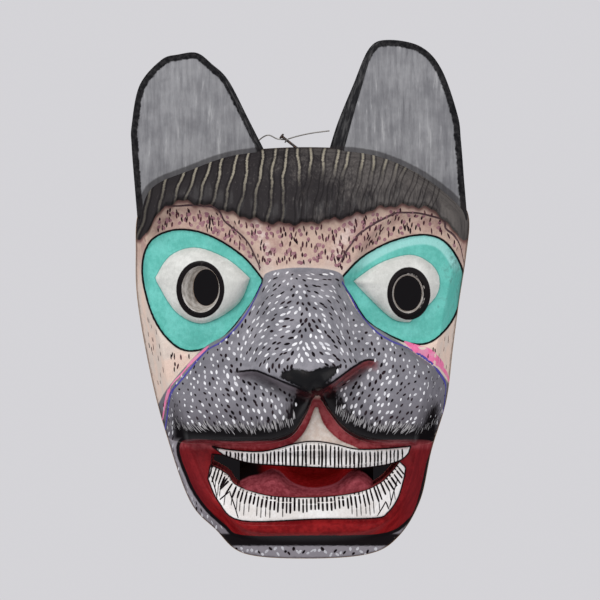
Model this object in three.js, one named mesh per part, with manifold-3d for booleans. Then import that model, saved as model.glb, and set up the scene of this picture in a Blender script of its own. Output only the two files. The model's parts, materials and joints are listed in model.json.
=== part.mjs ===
// A carved and painted folk-art animal mask: one hollowed block of soft wood for the head, two ear
// boards pegged to the back of its crown, and two nails with a soft wire to hang it by.
//
// Millimetres. +Z is up, -Y is forward and +X is the viewer's right as they face the mask. "Depth"
// is how far a point stands forward of the rim plane, so y = -depth. Outlines are drawn on the rim
// plane as (u, v), with v = 0 at the eyes' level, the way they look from a point straight in front.
import * as THREE from "three";
import { mergeVertices } from "three/addons/utils/BufferGeometryUtils.js";
import Module from "manifold-3d";

const wasm = await Module();
wasm.setup();

// Driving dimensions
const VIEW_DISTANCE = 800; // from the rim plane to the point that the outlines are drawn from
const HANG_HEIGHT = 83; // the hanging face, above the eyes' level; it becomes the origin
const CENTRE_V = -31; // middle of the head's outline
const FACE_DEPTH = 64; // cheeks and forehead, by the middle
const SIDE_FALL = 12; // how far they fall back by the sides
const FRAME_DEPTH = 82; // lips and teeth, by the middle
const FRAME_FALL = 26; // how far they fall back by the corners of the mouth
const FRAME_MIDDLE = 4; // the mouth is carved this far to the right
const FRAME_HALF = 78; // half its width
const HAIR_RISE = 7; // the hair stands proud of the forehead
const SOCKET_DROP = 7; // the eye sockets are cut back
const EYE_BULGE = 7;
const TOOTH_RISE = 2.5;
const LIP_ROLL = 2.5;
const CHIN_FALL = 26;
const HOLLOW_SHARE = 0.84; // the hollow's outline over the head's own
const HOLLOW_V = -38; // middle of the hollow
const HOLLOW_DEPTH = 44;
const HOLLOW_MUZZLE = 22; // extra depth behind the muzzle
const EAR_THICK = 18; // at the foot
const EAR_TIP_THICK = 9;
const GAP = 0.3; // clearance that touching pieces keep
const PEG_RADIUS = 2.5;
const PEG_LENGTH = 26;
const NAIL_RADIUS = 0.8;
const NAIL_HEAD = 1.8;
const NAIL_HEAD_THICK = 0.8;
const NAIL_POINT = 1.5; // length of the nail's point
const WIRE_RADIUS = 0.4;
const COIL_SLACK = 0.15; // extra room between the nail and the wire round it
const EDGE_DEPTH = 1; // thickness left at the head's edge
const TONGUE_HALF = 30;
const TONGUE_STRAIGHT = 24; // length of its straight sides
const TONGUE_CURVE = 48; // where the control point of its rounded back lies
const TONGUE_THICK = 8;
const TONGUE_TILT = Math.PI / 12;
const GAP_FRONT = 100; // the cut between the tooth rows runs from this depth
const GAP_BACK = 40; // to this one

// How finely the head is faceted: cells across its front and across its hollow.
const FRONT_CELLS = 52;
const HOLLOW_CELLS = 22;
const RIM_CROWDING = 1.35; // rows crowd towards the rim, where the surface is steepest
const SOFTENING = 2; // passes that blend steps finer than a cell
const WALL_RING = 0.84; // share of the rings that lie inside the side wall

// ---- curves -------------------------------------------------------------------------------------

// A smooth closed line through points (u, v).
function loop(points, steps) {
  const knots = points.map(([u, v]) => new THREE.Vector3(u, v, 0));
  const made = new THREE.CatmullRomCurve3(knots, true, "centripetal").getPoints(steps);
  made.pop();
  return made.map((p) => new THREE.Vector2(p.x, p.y));
}

// A smooth line through points (u, v), with its two ends.
function line(points, steps) {
  const knots = points.map(([u, v]) => new THREE.Vector3(u, v, 0));
  const made = new THREE.CatmullRomCurve3(knots, false, "centripetal").getPoints(steps);
  return made.map((p) => new THREE.Vector2(p.x, p.y));
}

// A smooth function through (t, value) pairs in rising order of t, level beyond its ends.
function profile(...pairs) {
  const slope = (i) => {
    const [before, after] = [pairs[Math.max(i - 1, 0)], pairs[Math.min(i + 1, pairs.length - 1)]];
    return (after[1] - before[1]) / (after[0] - before[0]);
  };
  return (t) => {
    if (t <= pairs[0][0]) return pairs[0][1];
    if (t >= pairs[pairs.length - 1][0]) return pairs[pairs.length - 1][1];
    const i = pairs.findIndex((pair) => pair[0] > t) - 1;
    const span = pairs[i + 1][0] - pairs[i][0];
    const s = (t - pairs[i][0]) / span;
    const rest = 1 - s;
    const ends = pairs[i][1] * rest * rest * (1 + 2 * s) + pairs[i + 1][1] * s * s * (3 - 2 * s);
    return ends + span * s * rest * (slope(i) * rest - slope(i + 1) * s);
  };
}

const step = THREE.MathUtils.smoothstep;

// A quarter circle's rise from 0 at t = 0 to 1 at t = 1.
function rounded(t) {
  const left = 1 - THREE.MathUtils.clamp(t, 0, 1);
  return Math.sqrt(1 - left * left);
}

// The lower of two heights, with the corner between them rounded over a given width.
function softLower(a, b, width) {
  const blend = Math.max(width - Math.abs(a - b), 0) / width;
  return Math.min(a, b) - (blend * blend * width) / 4;
}

// Distance from a point to a closed line, positive inside it.
function insideBy(outline, u, v) {
  let nearest = Infinity;
  let inside = false;
  outline.forEach((a, i) => {
    const b = outline[(i + 1) % outline.length];
    const [du, dv] = [b.x - a.x, b.y - a.y];
    const along = ((u - a.x) * du + (v - a.y) * dv) / (du * du + dv * dv || 1);
    const t = THREE.MathUtils.clamp(along, 0, 1);
    nearest = Math.min(nearest, Math.hypot(u - a.x - t * du, v - a.y - t * dv));
    if (a.y > v !== b.y > v && u < a.x + ((v - a.y) * du) / dv) inside = !inside;
  });
  return inside ? nearest : -nearest;
}

// ---- the drawing on the block ---------------------------------------------------------------------

// The head's silhouette, clockwise from the crown.
const HEAD = loop(
  [
    [0, 94], [30, 93], [52, 89], [76, 78], [97, 62], [104, 50], [102, 26], [98, 0], [94, -30], [90, -62],
    [81, -92], [74, -123], [61, -145], [43, -156], [6, -159], [-34, -156], [-52, -141], [-68, -123],
    [-83, -80], [-92, -45], [-100, 0], [-101, 30], [-100, 52], [-92, 71], [-67, 82], [-48, 89], [-28, 92.5],
  ],
  216,
);

// The sunken area round each eye, under the brow.
const SOCKETS = [
  loop([[-83, 57], [-52, 56], [-31, 37], [-21, 12], [-34, -8], [-55, -31], [-72, -33], [-90, -16], [-99, 8], [-98, 36]], 60),
  loop([[29, 15], [40, 37], [61, 54], [86, 50], [99, 28], [102, 5], [88, -23], [66, -29], [40, -13], [24, 9]], 60),
];
const EYEBALLS = [
  [...line([[-89, 15], [-80, 26], [-68, 32], [-48, 26], [-31, 13]], 12), ...line([[-42, -2], [-61, -14], [-79, -4]], 10)],
  [...line([[32, 12], [46, 22], [69, 27], [80, 22], [85.5, 12]], 12), ...line([[79, -5], [63, -14], [46, -4]], 10)],
];

// The sight holes: where each one is in front and behind, and its half width and half height there.
const SIGHT_HOLES = [
  { front: { u: -62.7, v: 6, halfWidth: 13.4, halfHeight: 15.8 }, back: { u: -56.9, v: 8, halfWidth: 6.8, halfHeight: 10.4 } },
  { front: { u: 67.2, v: 4.3, halfWidth: 11.4, halfHeight: 14 }, back: { u: 66.2, v: 4.3, halfWidth: 8.2, halfHeight: 10.4 } },
];
const SIGHT_FRONT = 75; // the depths of those two places
const SIGHT_BACK = 38;

const MUZZLE = loop(
  [
    [-20, 17], [0, 20], [24, 17], [29, 4], [40, -12], [64, -28], [90, -49], [95, -75], [90, -100],
    [-80, -100], [-90, -80], [-84, -58], [-61, -31], [-44, -20], [-33, -6], [-24, 8],
  ],
  120,
);
const LIPS = loop(
  [
    [5, -86], [-40, -87], [-73, -87], [-68, -111], [-58, -126], [-46, -138], [-34, -144.5], [7, -144.5],
    [50, -143.5], [66, -135], [72, -124], [78, -99], [81, -87], [50, -86],
  ],
  110,
);
const UPPER_TEETH = [
  ...line([[-54, -90], [-23, -93], [-4, -88.6], [8, -87], [21, -88.6], [36, -91.7], [68, -90]], 20),
  ...line([[61, -99], [49, -102], [28, -103.4], [-17, -101.4], [-33, -99.8], [-47, -95.3]], 16),
];
const LOWER_TEETH = [
  ...line([[-55, -101], [-39, -113.6], [-17, -120], [13, -121], [36, -118], [49, -112.6], [61, -99]], 24),
  ...line([[65, -103], [61, -121], [54, -130], [46, -134], [-36, -135.5], [-50, -124], [-57, -106]], 24),
];
const MOUTH_GAP = [
  ...line([[-54, -94], [-33, -100.3], [-17, -102], [28, -104], [49, -102.5], [61, -99.5]], 16),
  ...line([[55, -106], [48, -112], [36, -117.3], [13, -120], [-17, -119.3], [-39, -113], [-54, -101]], 20),
];

// Where, at each u, the hair ends above the forehead, the nose above the lip and the jowls above
// the mouth.
const hairEdge = profile([-98, 37], [-83, 57], [-58, 58], [-37, 52], [-21, 48], [0, 47], [28, 51], [61, 58], [86, 52], [98, 38]);
const noseEdge = profile([-40, -44], [-28, -43], [-17, -47], [-5, -52], [8, -56], [20, -50], [31, -42], [41, -36.5], [50, -38]);
const jowlEdge = profile([-83, -72], [-75, -82], [-60, -88], [-30, -89.5], [-10, -84.5], [0, -76], [9.8, -60], [20, -77], [30, -85], [45, -88.6], [66, -88.6], [78, -84], [88, -72]);

// How the muzzle swells, and the nose above it, from the brow down.
const muzzleRise = profile([-100, 34], [-75, 34], [-45, 27], [-20, 18], [0, 11], [18, 2]);
const noseRise = profile([-60, 21], [-48, 22], [-38, 24], [-20, 20], [0, 14], [18, 3]);
const noseHalf = profile([-60, 44], [-48, 44], [-35, 36], [-20, 30], [0, 26], [18, 22]);
const noseMiddle = profile([-50, 7], [0, 1]);

// ---- height of the carving ------------------------------------------------------------------------

const cheekDepth = (u) => FACE_DEPTH - SIDE_FALL * Math.abs(u / 90) ** 2.5;
const frameDepth = (u) => FRAME_DEPTH - FRAME_FALL * Math.abs((u - FRAME_MIDDLE) / FRAME_HALF) ** 2.4;

// Forehead, hair and eyes.
function upperDepth(u, v) {
  let depth = cheekDepth(u);
  SOCKETS.forEach((socket, i) => {
    depth -= SOCKET_DROP * step(insideBy(socket, u, v), 0, 9);
    depth += EYE_BULGE * rounded(insideBy(EYEBALLS[i], u, v) / 16);
  });
  const overHair = v - hairEdge(u);
  depth += HAIR_RISE * step(overHair, -4, 4);
  return depth - 0.016 * Math.max(overHair, 0) ** 2;
}

// Snout and jowls.
function muzzleDepth(u, v) {
  const within = insideBy(MUZZLE, u, v);
  const swell = muzzleRise(v) * rounded(within / 26);
  const across = (u - noseMiddle(v)) / noseHalf(v);
  const nose = noseRise(v) * Math.exp(-1.6 * across ** 4) * step(v - noseEdge(u), -7, 2);
  return upperDepth(u, v) + (within > 0 ? swell + nose * step(within, 0, 8) : 0);
}

// Lips, teeth and chin.
function mouthDepth(u, v) {
  const inLips = insideBy(LIPS, u, v);
  const teeth = Math.max(insideBy(UPPER_TEETH, u, v), insideBy(LOWER_TEETH, u, v));
  const roll = LIP_ROLL * (step(inLips, 0, 4) - step(inLips, 5, 9));
  const chin = CHIN_FALL * step(-143 - v, 0, 10);
  return frameDepth(u) + roll + TOOTH_RISE * step(teeth, -2, 2) - chin;
}

// Depth of the whole front, at a point that is a given distance inside the silhouette.
function frontDepth(u, v, fromEdge) {
  const aboveMouth = step(v - jowlEdge(u), -3, 7);
  const depth = THREE.MathUtils.lerp(mouthDepth(u, v), muzzleDepth(u, v), aboveMouth);
  const wallSlope = profile([-150, 5.5], [-120, 6.5], [40, 6.5], [80, 9])(v);
  return Math.max(softLower(depth, wallSlope * fromEdge, 9), 0);
}

// Depth of the hollow, at a point that is a given distance inside the hollow's outline.
function hollowDepth(u, v, fromEdge) {
  const reach = Math.hypot((u - FRAME_MIDDLE) / 64, (v + 75) / 60);
  const depth = HOLLOW_DEPTH + HOLLOW_MUZZLE * (1 - step(reach, 0.25, 1));
  return softLower(depth, 4 * fromEdge, 12);
}

// ---- solids ---------------------------------------------------------------------------------------

// The point that is seen at (u, v) and stands at a given depth.
function seen(u, v, depth) {
  const shrink = 1 - depth / VIEW_DISTANCE;
  return new THREE.Vector3(u * shrink, -depth, v * shrink);
}

function geometryFrom(points, triangles) {
  const geometry = new THREE.BufferGeometry();
  geometry.setAttribute("position", new THREE.Float32BufferAttribute(points.flatMap((p) => p.toArray()), 3));
  geometry.setIndex(triangles.flat());
  return geometry;
}

function toSolid(geometry) {
  const bare = geometry.clone();
  bare.deleteAttribute("normal");
  bare.deleteAttribute("uv");
  const merged = mergeVertices(bare, 1e-4);
  const mesh = { numProp: 3, vertProperties: merged.attributes.position.array, triVerts: merged.index.array };
  return new wasm.Manifold(new wasm.Mesh(mesh));
}

function toGeometry(solid) {
  const { numProp, vertProperties, triVerts } = solid.getMesh();
  const points = [];
  for (let i = 0; i < vertProperties.length; i += numProp) {
    points.push(new THREE.Vector3(vertProperties[i], vertProperties[i + 1], vertProperties[i + 2]));
  }
  const geometry = geometryFrom(points, [Array.from(triVerts)]);
  geometry.computeVertexNormals();
  return geometry;
}

// Radius of a star-shaped outline about a middle, as a function of angle.
function reachOf(outline, middle) {
  return (angle) => {
    const [du, dv] = [Math.cos(angle), Math.sin(angle)];
    let best = 0;
    outline.forEach((a, i) => {
      const b = outline[(i + 1) % outline.length];
      const cross = du * (b.y - a.y) - dv * (b.x - a.x);
      const along = ((a.x - middle.x) * (b.y - a.y) - (a.y - middle.y) * (b.x - a.x)) / cross;
      const share = ((a.x - middle.x) * dv - (a.y - middle.y) * du) / cross;
      if (along > 0 && share >= -1e-9 && share <= 1 + 1e-9) best = Math.max(best, along);
    });
    return best;
  };
}

// Triangles that fill a flat ring of points, all running anticlockwise.
function fill(ring) {
  const flat = ring.map((p) => new THREE.Vector2(p.x, p.z));
  return THREE.ShapeUtils.triangulateShape(flat, []).map(([a, b, c]) => {
    const turn = THREE.ShapeUtils.area([flat[a], flat[b], flat[c]]);
    return turn > 0 ? [a, b, c] : [a, c, b];
  });
}

// A closed solid under a square sheet of cells that is stretched to an outline. The sheet's depth is
// depthAt(u, v, distance from the outline) and edgeDepth at the outline; its back is flat.
function sheetSolid({ outline, middle, cells, depthAt, edgeDepth, backDepth }) {
  const reach = reachOf(outline, middle);
  const places = [];
  for (let row = 0; row <= cells; row++) {
    for (let column = 0; column <= cells; column++) {
      const [a, b] = [(2 * column) / cells - 1, (2 * row) / cells - 1];
      const ring = Math.max(Math.abs(a), Math.abs(b));
      const eighth = Math.abs(a) > Math.abs(b) ? b / a : a / (b || 1);
      const turn = (eighth * Math.PI) / 4;
      const flat = a < 0 ? Math.PI + turn : turn;
      const angle = Math.abs(a) > Math.abs(b) ? flat : Math.sign(b || 1) * (Math.PI / 2) - turn;
      const radius = reach(angle);
      const share = 1 - (1 - ring) ** RIM_CROWDING;
      const u = middle.x + radius * share * Math.cos(angle);
      const v = middle.y + radius * share * Math.sin(angle);
      places.push({ u, v, ring, depth: ring === 1 ? edgeDepth : depthAt(u, v, radius * (1 - share)) });
    }
  }
  for (let pass = 0; pass < SOFTENING; pass++) soften(places, cells + 1);
  return closeSheet(places.map(({ u, v, depth }) => seen(u, v, depth)), cells, backDepth);
}

// Averages each cell corner's depth with its neighbours', away from the steep side wall.
function soften(places, width) {
  const before = places.map((place) => place.depth);
  places.forEach((place, i) => {
    if (place.ring > WALL_RING) return;
    const around = before[i - 1] + before[i + 1] + before[i - width] + before[i + width];
    place.depth = (before[i] * 2 + around) / 6;
  });
}

// Joins a sheet's edge to a flat back, so that the two make one closed solid.
function closeSheet(points, cells, backDepth) {
  const width = cells + 1;
  const triangles = [];
  for (let row = 0; row < cells; row++) {
    for (let column = 0; column < cells; column++) {
      const corner = row * width + column;
      triangles.push([corner, corner + 1, corner + width + 1], [corner, corner + width + 1, corner + width]);
    }
  }
  const edge = [];
  for (let i = 0; i < cells; i++) edge.push(i);
  for (let i = 0; i < cells; i++) edge.push(cells + i * width);
  for (let i = 0; i < cells; i++) edge.push(width * width - 1 - i);
  for (let i = 0; i < cells; i++) edge.push(width * (width - 1) - i * width);
  const firstBack = points.length;
  edge.forEach((index) => points.push(new THREE.Vector3(points[index].x, -backDepth, points[index].z)));
  edge.forEach((index, i) => {
    const [back, nextBack] = [firstBack + i, firstBack + ((i + 1) % edge.length)];
    const next = edge[(i + 1) % edge.length];
    triangles.push([index, back, nextBack], [index, nextBack, next]);
  });
  fill(points.slice(firstBack)).forEach(([a, b, c]) => {
    triangles.push([firstBack + a, firstBack + c, firstBack + b]);
  });
  return geometryFrom(points, triangles);
}

// A closed solid between a front ring and a back ring of as many points.
function loft(front, back) {
  const count = front.length;
  const triangles = [];
  const clockwise = THREE.ShapeUtils.isClockWise(front.map((p) => new THREE.Vector2(p.x, p.z)));
  const [ahead, behind] = clockwise ? [[...front].reverse(), [...back].reverse()] : [front, back];
  fill(ahead).forEach(([a, b, c]) => triangles.push([a, b, c], [count + a, count + c, count + b]));
  for (let i = 0; i < count; i++) {
    const next = (i + 1) % count;
    triangles.push([i, count + i, count + next], [i, count + next, next]);
  }
  return geometryFrom([...ahead, ...behind], triangles);
}

const ringAt = (outline, depth) => outline.map((p) => seen(p.x, p.y, depth));

function ellipse({ u, v, halfWidth, halfHeight }, sides = 24) {
  const curve = new THREE.EllipseCurve(u, v, halfWidth, halfHeight);
  return curve.getPoints(sides).slice(0, sides);
}

// Ear boards, from the inner foot over the tip to the outer foot. The inner side is cut at a slant,
// widest at the foot.
const EARS = {
  left: {
    outline: [
      ...line([[-22.4, 93], [-31.6, 111], [-44, 135], [-54, 145], [-63.4, 152], [-75, 151], [-85.3, 147.7], [-98.7, 132], [-103.6, 107], [-103.6, 95], [-101.5, 68], [-100, 50]], 30),
      ...line([[-84, 54], [-50, 72], [-24, 76]], 6),
    ],
    inner: 1,
    slant: 4,
    pegs: [[-42, 79], [-78, 64]],
  },
  right: {
    outline: [
      ...line([[18, 92.6], [23.4, 109.6], [32.6, 132], [42.5, 154.7], [53.8, 160], [74, 156], [87, 142], [96.9, 114], [99, 98], [101, 73], [103, 49]], 30),
      ...line([[87, 50], [52, 73], [20, 76]], 6),
    ],
    inner: -1,
    slant: 9,
    pegs: [[40, 80], [76, 63.5]],
  },
};
const EAR_FOOT = 75; // heights that the ears' thickness is given at
const EAR_TIP = 158;
const SLANT_FADE = 0.6; // share of the inner side's slant lost towards the tip
const REBATE_OPEN = 5; // the rebate is cut this far out past the back

const earDepth = (v) => EAR_THICK - (EAR_THICK - EAR_TIP_THICK) * ((v - EAR_FOOT) / (EAR_TIP - EAR_FOOT));

// An outline moved outwards by a given distance.
function grown(outline, by) {
  return outline.map((p, i) => {
    const before = outline[(i + outline.length - 1) % outline.length];
    const after = outline[(i + 1) % outline.length];
    const out = new THREE.Vector2(after.y - before.y, before.x - after.x).normalize().multiplyScalar(by);
    const sign = THREE.ShapeUtils.isClockWise(outline) ? -1 : 1;
    return new THREE.Vector2(p.x + sign * out.x, p.y + sign * out.y);
  });
}

// An ear board, or with a clearance the rebate that it is let into.
function earBoard(ear, clearance = 0) {
  const outline = grown(ear.outline, clearance);
  const middle = outline.reduce((sum, p) => sum + p.x, 0) / outline.length;
  const front = outline.map((p) => {
    const onInner = step((p.x - middle) * ear.inner, 4, 26);
    const cut = clearance ? 0 : ear.slant * onInner * (1 - SLANT_FADE * step(p.y, 95, EAR_TIP));
    return seen(p.x - ear.inner * cut, p.y, earDepth(p.y) + clearance);
  });
  const back = ringAt(outline, clearance ? -REBATE_OPEN : 0);
  return loft(front, back);
}

// A peg that starts flush with the back and points forward.
function peg([u, v], clearance = 0) {
  const radius = PEG_RADIUS + clearance;
  return new THREE.CylinderGeometry(radius, radius, PEG_LENGTH + 2 * clearance, 14).translate(u, -PEG_LENGTH / 2, v);
}

function turned(geometry, direction, at) {
  geometry.applyQuaternion(new THREE.Quaternion().setFromUnitVectors(new THREE.Vector3(0, 1, 0), direction));
  return geometry.translate(at.x, at.y, at.z);
}

// A nail with its head's top at a given point, pointing the other way from a given direction.
function nail({ top, outward, length }, clearance = 0) {
  const [shank, head, thickness] = [NAIL_RADIUS + clearance, NAIL_HEAD + clearance, NAIL_HEAD_THICK + clearance];
  const half = [
    [0, clearance],
    [head, clearance],
    [head, -thickness],
    [shank, -thickness],
    [shank, NAIL_POINT - length],
    [0, -length - clearance],
  ];
  const shape = new THREE.LatheGeometry(half.reverse().map(([x, y]) => new THREE.Vector2(x, y)), 10);
  return turned(shape, outward.clone().normalize(), top);
}

const CROWN_NAIL = { top: new THREE.Vector3(-11.5, -5, 100.3), outward: new THREE.Vector3(-0.78, 0.1, 0.62), length: 26 };
const EAR_NAIL = { top: new THREE.Vector3(-34, 2.8, 88), outward: new THREE.Vector3(0, 1, 0), length: 15 };

// Points of a coil round a nail's shank, a given distance down from its top. It turns the other way
// when turns is negative.
function coil({ top, outward }, down, turns, startAngle, pitch) {
  const axis = outward.clone().normalize();
  const across = new THREE.Vector3(0, 0, 1).cross(axis).normalize();
  const along = axis.clone().cross(across);
  const radius = NAIL_RADIUS + GAP + WIRE_RADIUS + COIL_SLACK;
  const count = Math.round(Math.abs(turns) * 8);
  return Array.from({ length: count + 1 }, (_, i) => {
    const angle = startAngle + ((Math.sign(turns) * i) / 8) * 2 * Math.PI;
    const point = top.clone().addScaledVector(axis, -down - (pitch * i) / 8);
    point.addScaledVector(across, radius * Math.cos(angle));
    return point.addScaledVector(along, radius * Math.sin(angle));
  });
}

// The hanging wire: once round the ear's nail, up behind the ear, once round the crown's nail, and a
// free tail.
function hangerWire() {
  const route = [
    ...coil(EAR_NAIL, 1.6, -0.75, Math.PI / 2, 0),
    new THREE.Vector3(-29, 1.2, 93),
    new THREE.Vector3(-25, 1.2, 98.6),
    new THREE.Vector3(-19.5, -1.5, 101.2),
    new THREE.Vector3(-14, -1.6, 98.9),
    ...coil(CROWN_NAIL, 4, 0.75, Math.PI, 1.3),
    new THREE.Vector3(-2, -5, 100),
    new THREE.Vector3(7, -4.5, 102),
    new THREE.Vector3(18, -5, 103.4),
  ];
  const section = new THREE.Shape(ellipse({ u: 0, v: 0, halfWidth: WIRE_RADIUS, halfHeight: WIRE_RADIUS }, 8));
  const extrudePath = new THREE.CatmullRomCurve3(route, false, "centripetal");
  return new THREE.ExtrudeGeometry(section, { steps: 76, bevelEnabled: false, extrudePath });
}

// The tongue, a shelf that rises as it goes back from behind the lower teeth.
function tongue() {
  const narrow = TONGUE_HALF - 4;
  const plan = new THREE.Shape([
    new THREE.Vector2(-TONGUE_HALF, 0),
    new THREE.Vector2(TONGUE_HALF, 0),
    new THREE.Vector2(narrow, TONGUE_STRAIGHT),
  ]);
  plan.quadraticCurveTo(0, TONGUE_CURVE, -narrow, TONGUE_STRAIGHT);
  const slab = new THREE.ExtrudeGeometry(plan, { depth: TONGUE_THICK, bevelEnabled: false, curveSegments: 8 });
  return slab.rotateX(TONGUE_TILT).translate(8, -78, -119);
}

// The head's block, before anything is cut from it.
function headBlock() {
  return sheetSolid({
    outline: HEAD,
    middle: new THREE.Vector2(0, CENTRE_V),
    cells: FRONT_CELLS,
    depthAt: frontDepth,
    edgeDepth: EDGE_DEPTH,
    backDepth: 0,
  });
}

function hollow() {
  const middle = new THREE.Vector2(0, HOLLOW_V);
  const outline = HEAD.map((p) => p.clone().sub(middle).multiplyScalar(HOLLOW_SHARE).add(middle));
  return sheetSolid({ outline, middle, cells: HOLLOW_CELLS, depthAt: hollowDepth, edgeDepth: 0, backDepth: -3 });
}

// The gap between the tooth rows, straight through from front to back.
function mouthGap() {
  const edge = ringAt(MOUTH_GAP, FRAME_DEPTH);
  const at = (depth) => edge.map((p) => new THREE.Vector3(p.x, -depth, p.z));
  return loft(at(GAP_FRONT), at(GAP_BACK));
}

function head() {
  let solid = toSolid(headBlock()).subtract(toSolid(hollow()));
  SIGHT_HOLES.forEach(({ front, back }) => {
    const bore = loft(ringAt(ellipse(front), SIGHT_FRONT), ringAt(ellipse(back), SIGHT_BACK));
    solid = solid.subtract(toSolid(bore));
  });
  solid = solid.subtract(toSolid(mouthGap())).add(toSolid(tongue()));
  Object.values(EARS).forEach((ear) => {
    solid = solid.subtract(toSolid(earBoard(ear, GAP)));
    ear.pegs.forEach((place) => { solid = solid.subtract(toSolid(peg(place, GAP))); });
  });
  return toGeometry(solid.subtract(toSolid(nail(CROWN_NAIL, GAP))));
}

function earWithHoles(ear, nails) {
  let solid = toSolid(earBoard(ear));
  ear.pegs.forEach((place) => { solid = solid.subtract(toSolid(peg(place, GAP))); });
  nails.forEach((place) => { solid = solid.subtract(toSolid(nail(place, GAP))); });
  return toGeometry(solid);
}

// ---- the assembly ---------------------------------------------------------------------------------

const MATERIALS = {
  head: { color: 0x8f8a8a, roughness: 0.6, metalness: 0 },
  ear: { color: 0x77777b, roughness: 0.65, metalness: 0 },
  peg: { color: 0xc9a878, roughness: 0.8, metalness: 0 },
  iron: { color: 0x1c1c1e, roughness: 0.5, metalness: 0.8 },
  wire: { color: 0x8b8b88, roughness: 0.4, metalness: 0.9 },
};

const mask = new THREE.Group();
mask.position.z = -HANG_HEIGHT;

function addPiece(name, geometry, material) {
  const piece = new THREE.Mesh(geometry, new THREE.MeshStandardMaterial(MATERIALS[material]));
  piece.name = name;
  mask.add(piece);
}

addPiece("head", head(), "head");
addPiece("left_ear", earWithHoles(EARS.left, [EAR_NAIL]), "ear");
addPiece("right_ear", earWithHoles(EARS.right, []), "ear");
Object.entries(EARS).forEach(([side, ear]) => {
  addPiece(`${side}_ear_peg_inner`, peg(ear.pegs[0]), "peg");
  addPiece(`${side}_ear_peg_outer`, peg(ear.pegs[1]), "peg");
});
addPiece("hanger_nail_crown", nail(CROWN_NAIL), "iron");
addPiece("hanger_nail_ear", nail(EAR_NAIL), "iron");
addPiece("hanger_wire", hangerWire(), "wire");

export default mask;
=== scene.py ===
"""Looks for a carved and painted folk-art animal mask that hangs by its back rim.

Lengths in this file are millimetres on the carver's drawing, and become metres where a point is
placed. The drawing lies on the rim plane as (u, v), with v = 0 at the eyes' level, the way it looks
from a point VIEW_DISTANCE in front. "Depth" is how far a point stands forward of the rim plane.
"""

import sys

import json
import logging
import math
import random
from dataclasses import dataclass, field
from enum import Enum, IntEnum
from typing import Callable, Iterable, Sequence

import bmesh
import bpy
import numpy as np
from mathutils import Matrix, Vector
from mathutils.bvhtree import BVHTree

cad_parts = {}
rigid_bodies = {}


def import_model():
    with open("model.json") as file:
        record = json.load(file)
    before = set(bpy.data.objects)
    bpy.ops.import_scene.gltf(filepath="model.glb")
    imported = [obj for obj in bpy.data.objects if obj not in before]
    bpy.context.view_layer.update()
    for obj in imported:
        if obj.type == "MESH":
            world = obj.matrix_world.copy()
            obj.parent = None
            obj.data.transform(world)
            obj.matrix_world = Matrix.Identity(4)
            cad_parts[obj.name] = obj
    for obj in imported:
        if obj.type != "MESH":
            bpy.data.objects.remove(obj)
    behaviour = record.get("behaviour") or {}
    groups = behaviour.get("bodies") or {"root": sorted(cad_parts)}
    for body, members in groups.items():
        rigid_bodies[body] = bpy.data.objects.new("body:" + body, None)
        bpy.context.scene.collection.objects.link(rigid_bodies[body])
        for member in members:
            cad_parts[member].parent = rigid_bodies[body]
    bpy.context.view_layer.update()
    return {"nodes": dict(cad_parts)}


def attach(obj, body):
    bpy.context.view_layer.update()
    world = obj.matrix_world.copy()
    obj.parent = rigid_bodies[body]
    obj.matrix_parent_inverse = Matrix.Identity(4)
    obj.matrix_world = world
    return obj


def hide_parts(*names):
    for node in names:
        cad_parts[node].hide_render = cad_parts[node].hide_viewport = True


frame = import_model()
LOG = logging.getLogger("mask")

Point = tuple[float, float]
Colour = tuple[float, float, float]
Shade = tuple[int, int, int]
Array = np.ndarray

MM = 0.001
VIEW_DISTANCE = 800.0
HANG_HEIGHT = 83.0  # the origin's height above the eyes' level
CENTRE_V = -31.0
FACE_DEPTH = 64.0
SIDE_FALL = 12.0
FRAME_DEPTH = 82.0
FRAME_FALL = 26.0
FRAME_MIDDLE = 4.0
FRAME_HALF = 78.0
HAIR_RISE = 6.5
SOCKET_DROP = 7.0
EYE_BULGE = 7.5
HOLLOW_SHARE = 0.84
HOLLOW_V = -38.0
HOLLOW_DEPTH = 44.0
HOLLOW_MUZZLE = 22.0
WELL_INSIDE = 60.0  # far enough from an edge for the walls' slope not to matter
SEED = 11


# ---- curves and fields ---------------------------------------------------------------------------


def smooth_line(points: Sequence[Point], steps: int, closed: bool = False) -> Array:
    """A smooth line through points.

    Args:
        points: the points that the line passes, in order.
        steps: how many stretches the line is cut into.
        closed: whether it runs round to its start.

    Returns:
        Its sampled points, one row each.
    """
    knots = np.array(points, float)
    count = len(knots)
    spans = count if closed else count - 1
    places = np.linspace(0, spans, steps + 1)[: -1 if closed else None]
    index = np.minimum(places.astype(int), spans - 1)
    part = (places - index)[:, None]

    def knot(offset: int) -> Array:
        """The knots at an offset from each sample's own, wrapped or held at the ends."""
        wanted = index + offset
        return knots[wanted % count] if closed else knots[np.clip(wanted, 0, count - 1)]

    before, start, end, after = knot(-1), knot(0), knot(1), knot(2)
    bend = 2 * before - 5 * start + 4 * end - after
    twist = 3 * (start - end) + after - before
    return start + 0.5 * part * (end - before + part * (bend + part * twist))


def profile(*pairs: Point) -> Callable[[Array], Array]:
    """A smooth function through (t, value) pairs in rising order of t, level beyond its ends.

    Args:
        pairs: the pairs.

    Returns:
        The function.
    """
    at = np.array([pair[0] for pair in pairs], float)
    value = np.array([pair[1] for pair in pairs], float)
    slope = np.gradient(value, at) if len(at) > 2 else np.full(2, (value[1] - value[0]) / (at[1] - at[0]))

    def read(t: Array) -> Array:
        """The function's value at each t."""
        held = np.clip(t, at[0], at[-1])
        i = np.clip(np.searchsorted(at, held, side="right") - 1, 0, len(at) - 2)
        span = at[i + 1] - at[i]
        s = (held - at[i]) / span
        rest = 1 - s
        ends = value[i] * rest**2 * (1 + 2 * s) + value[i + 1] * s**2 * (3 - 2 * s)
        return ends + span * s * rest * (slope[i] * rest - slope[i + 1] * s)

    return read


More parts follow.
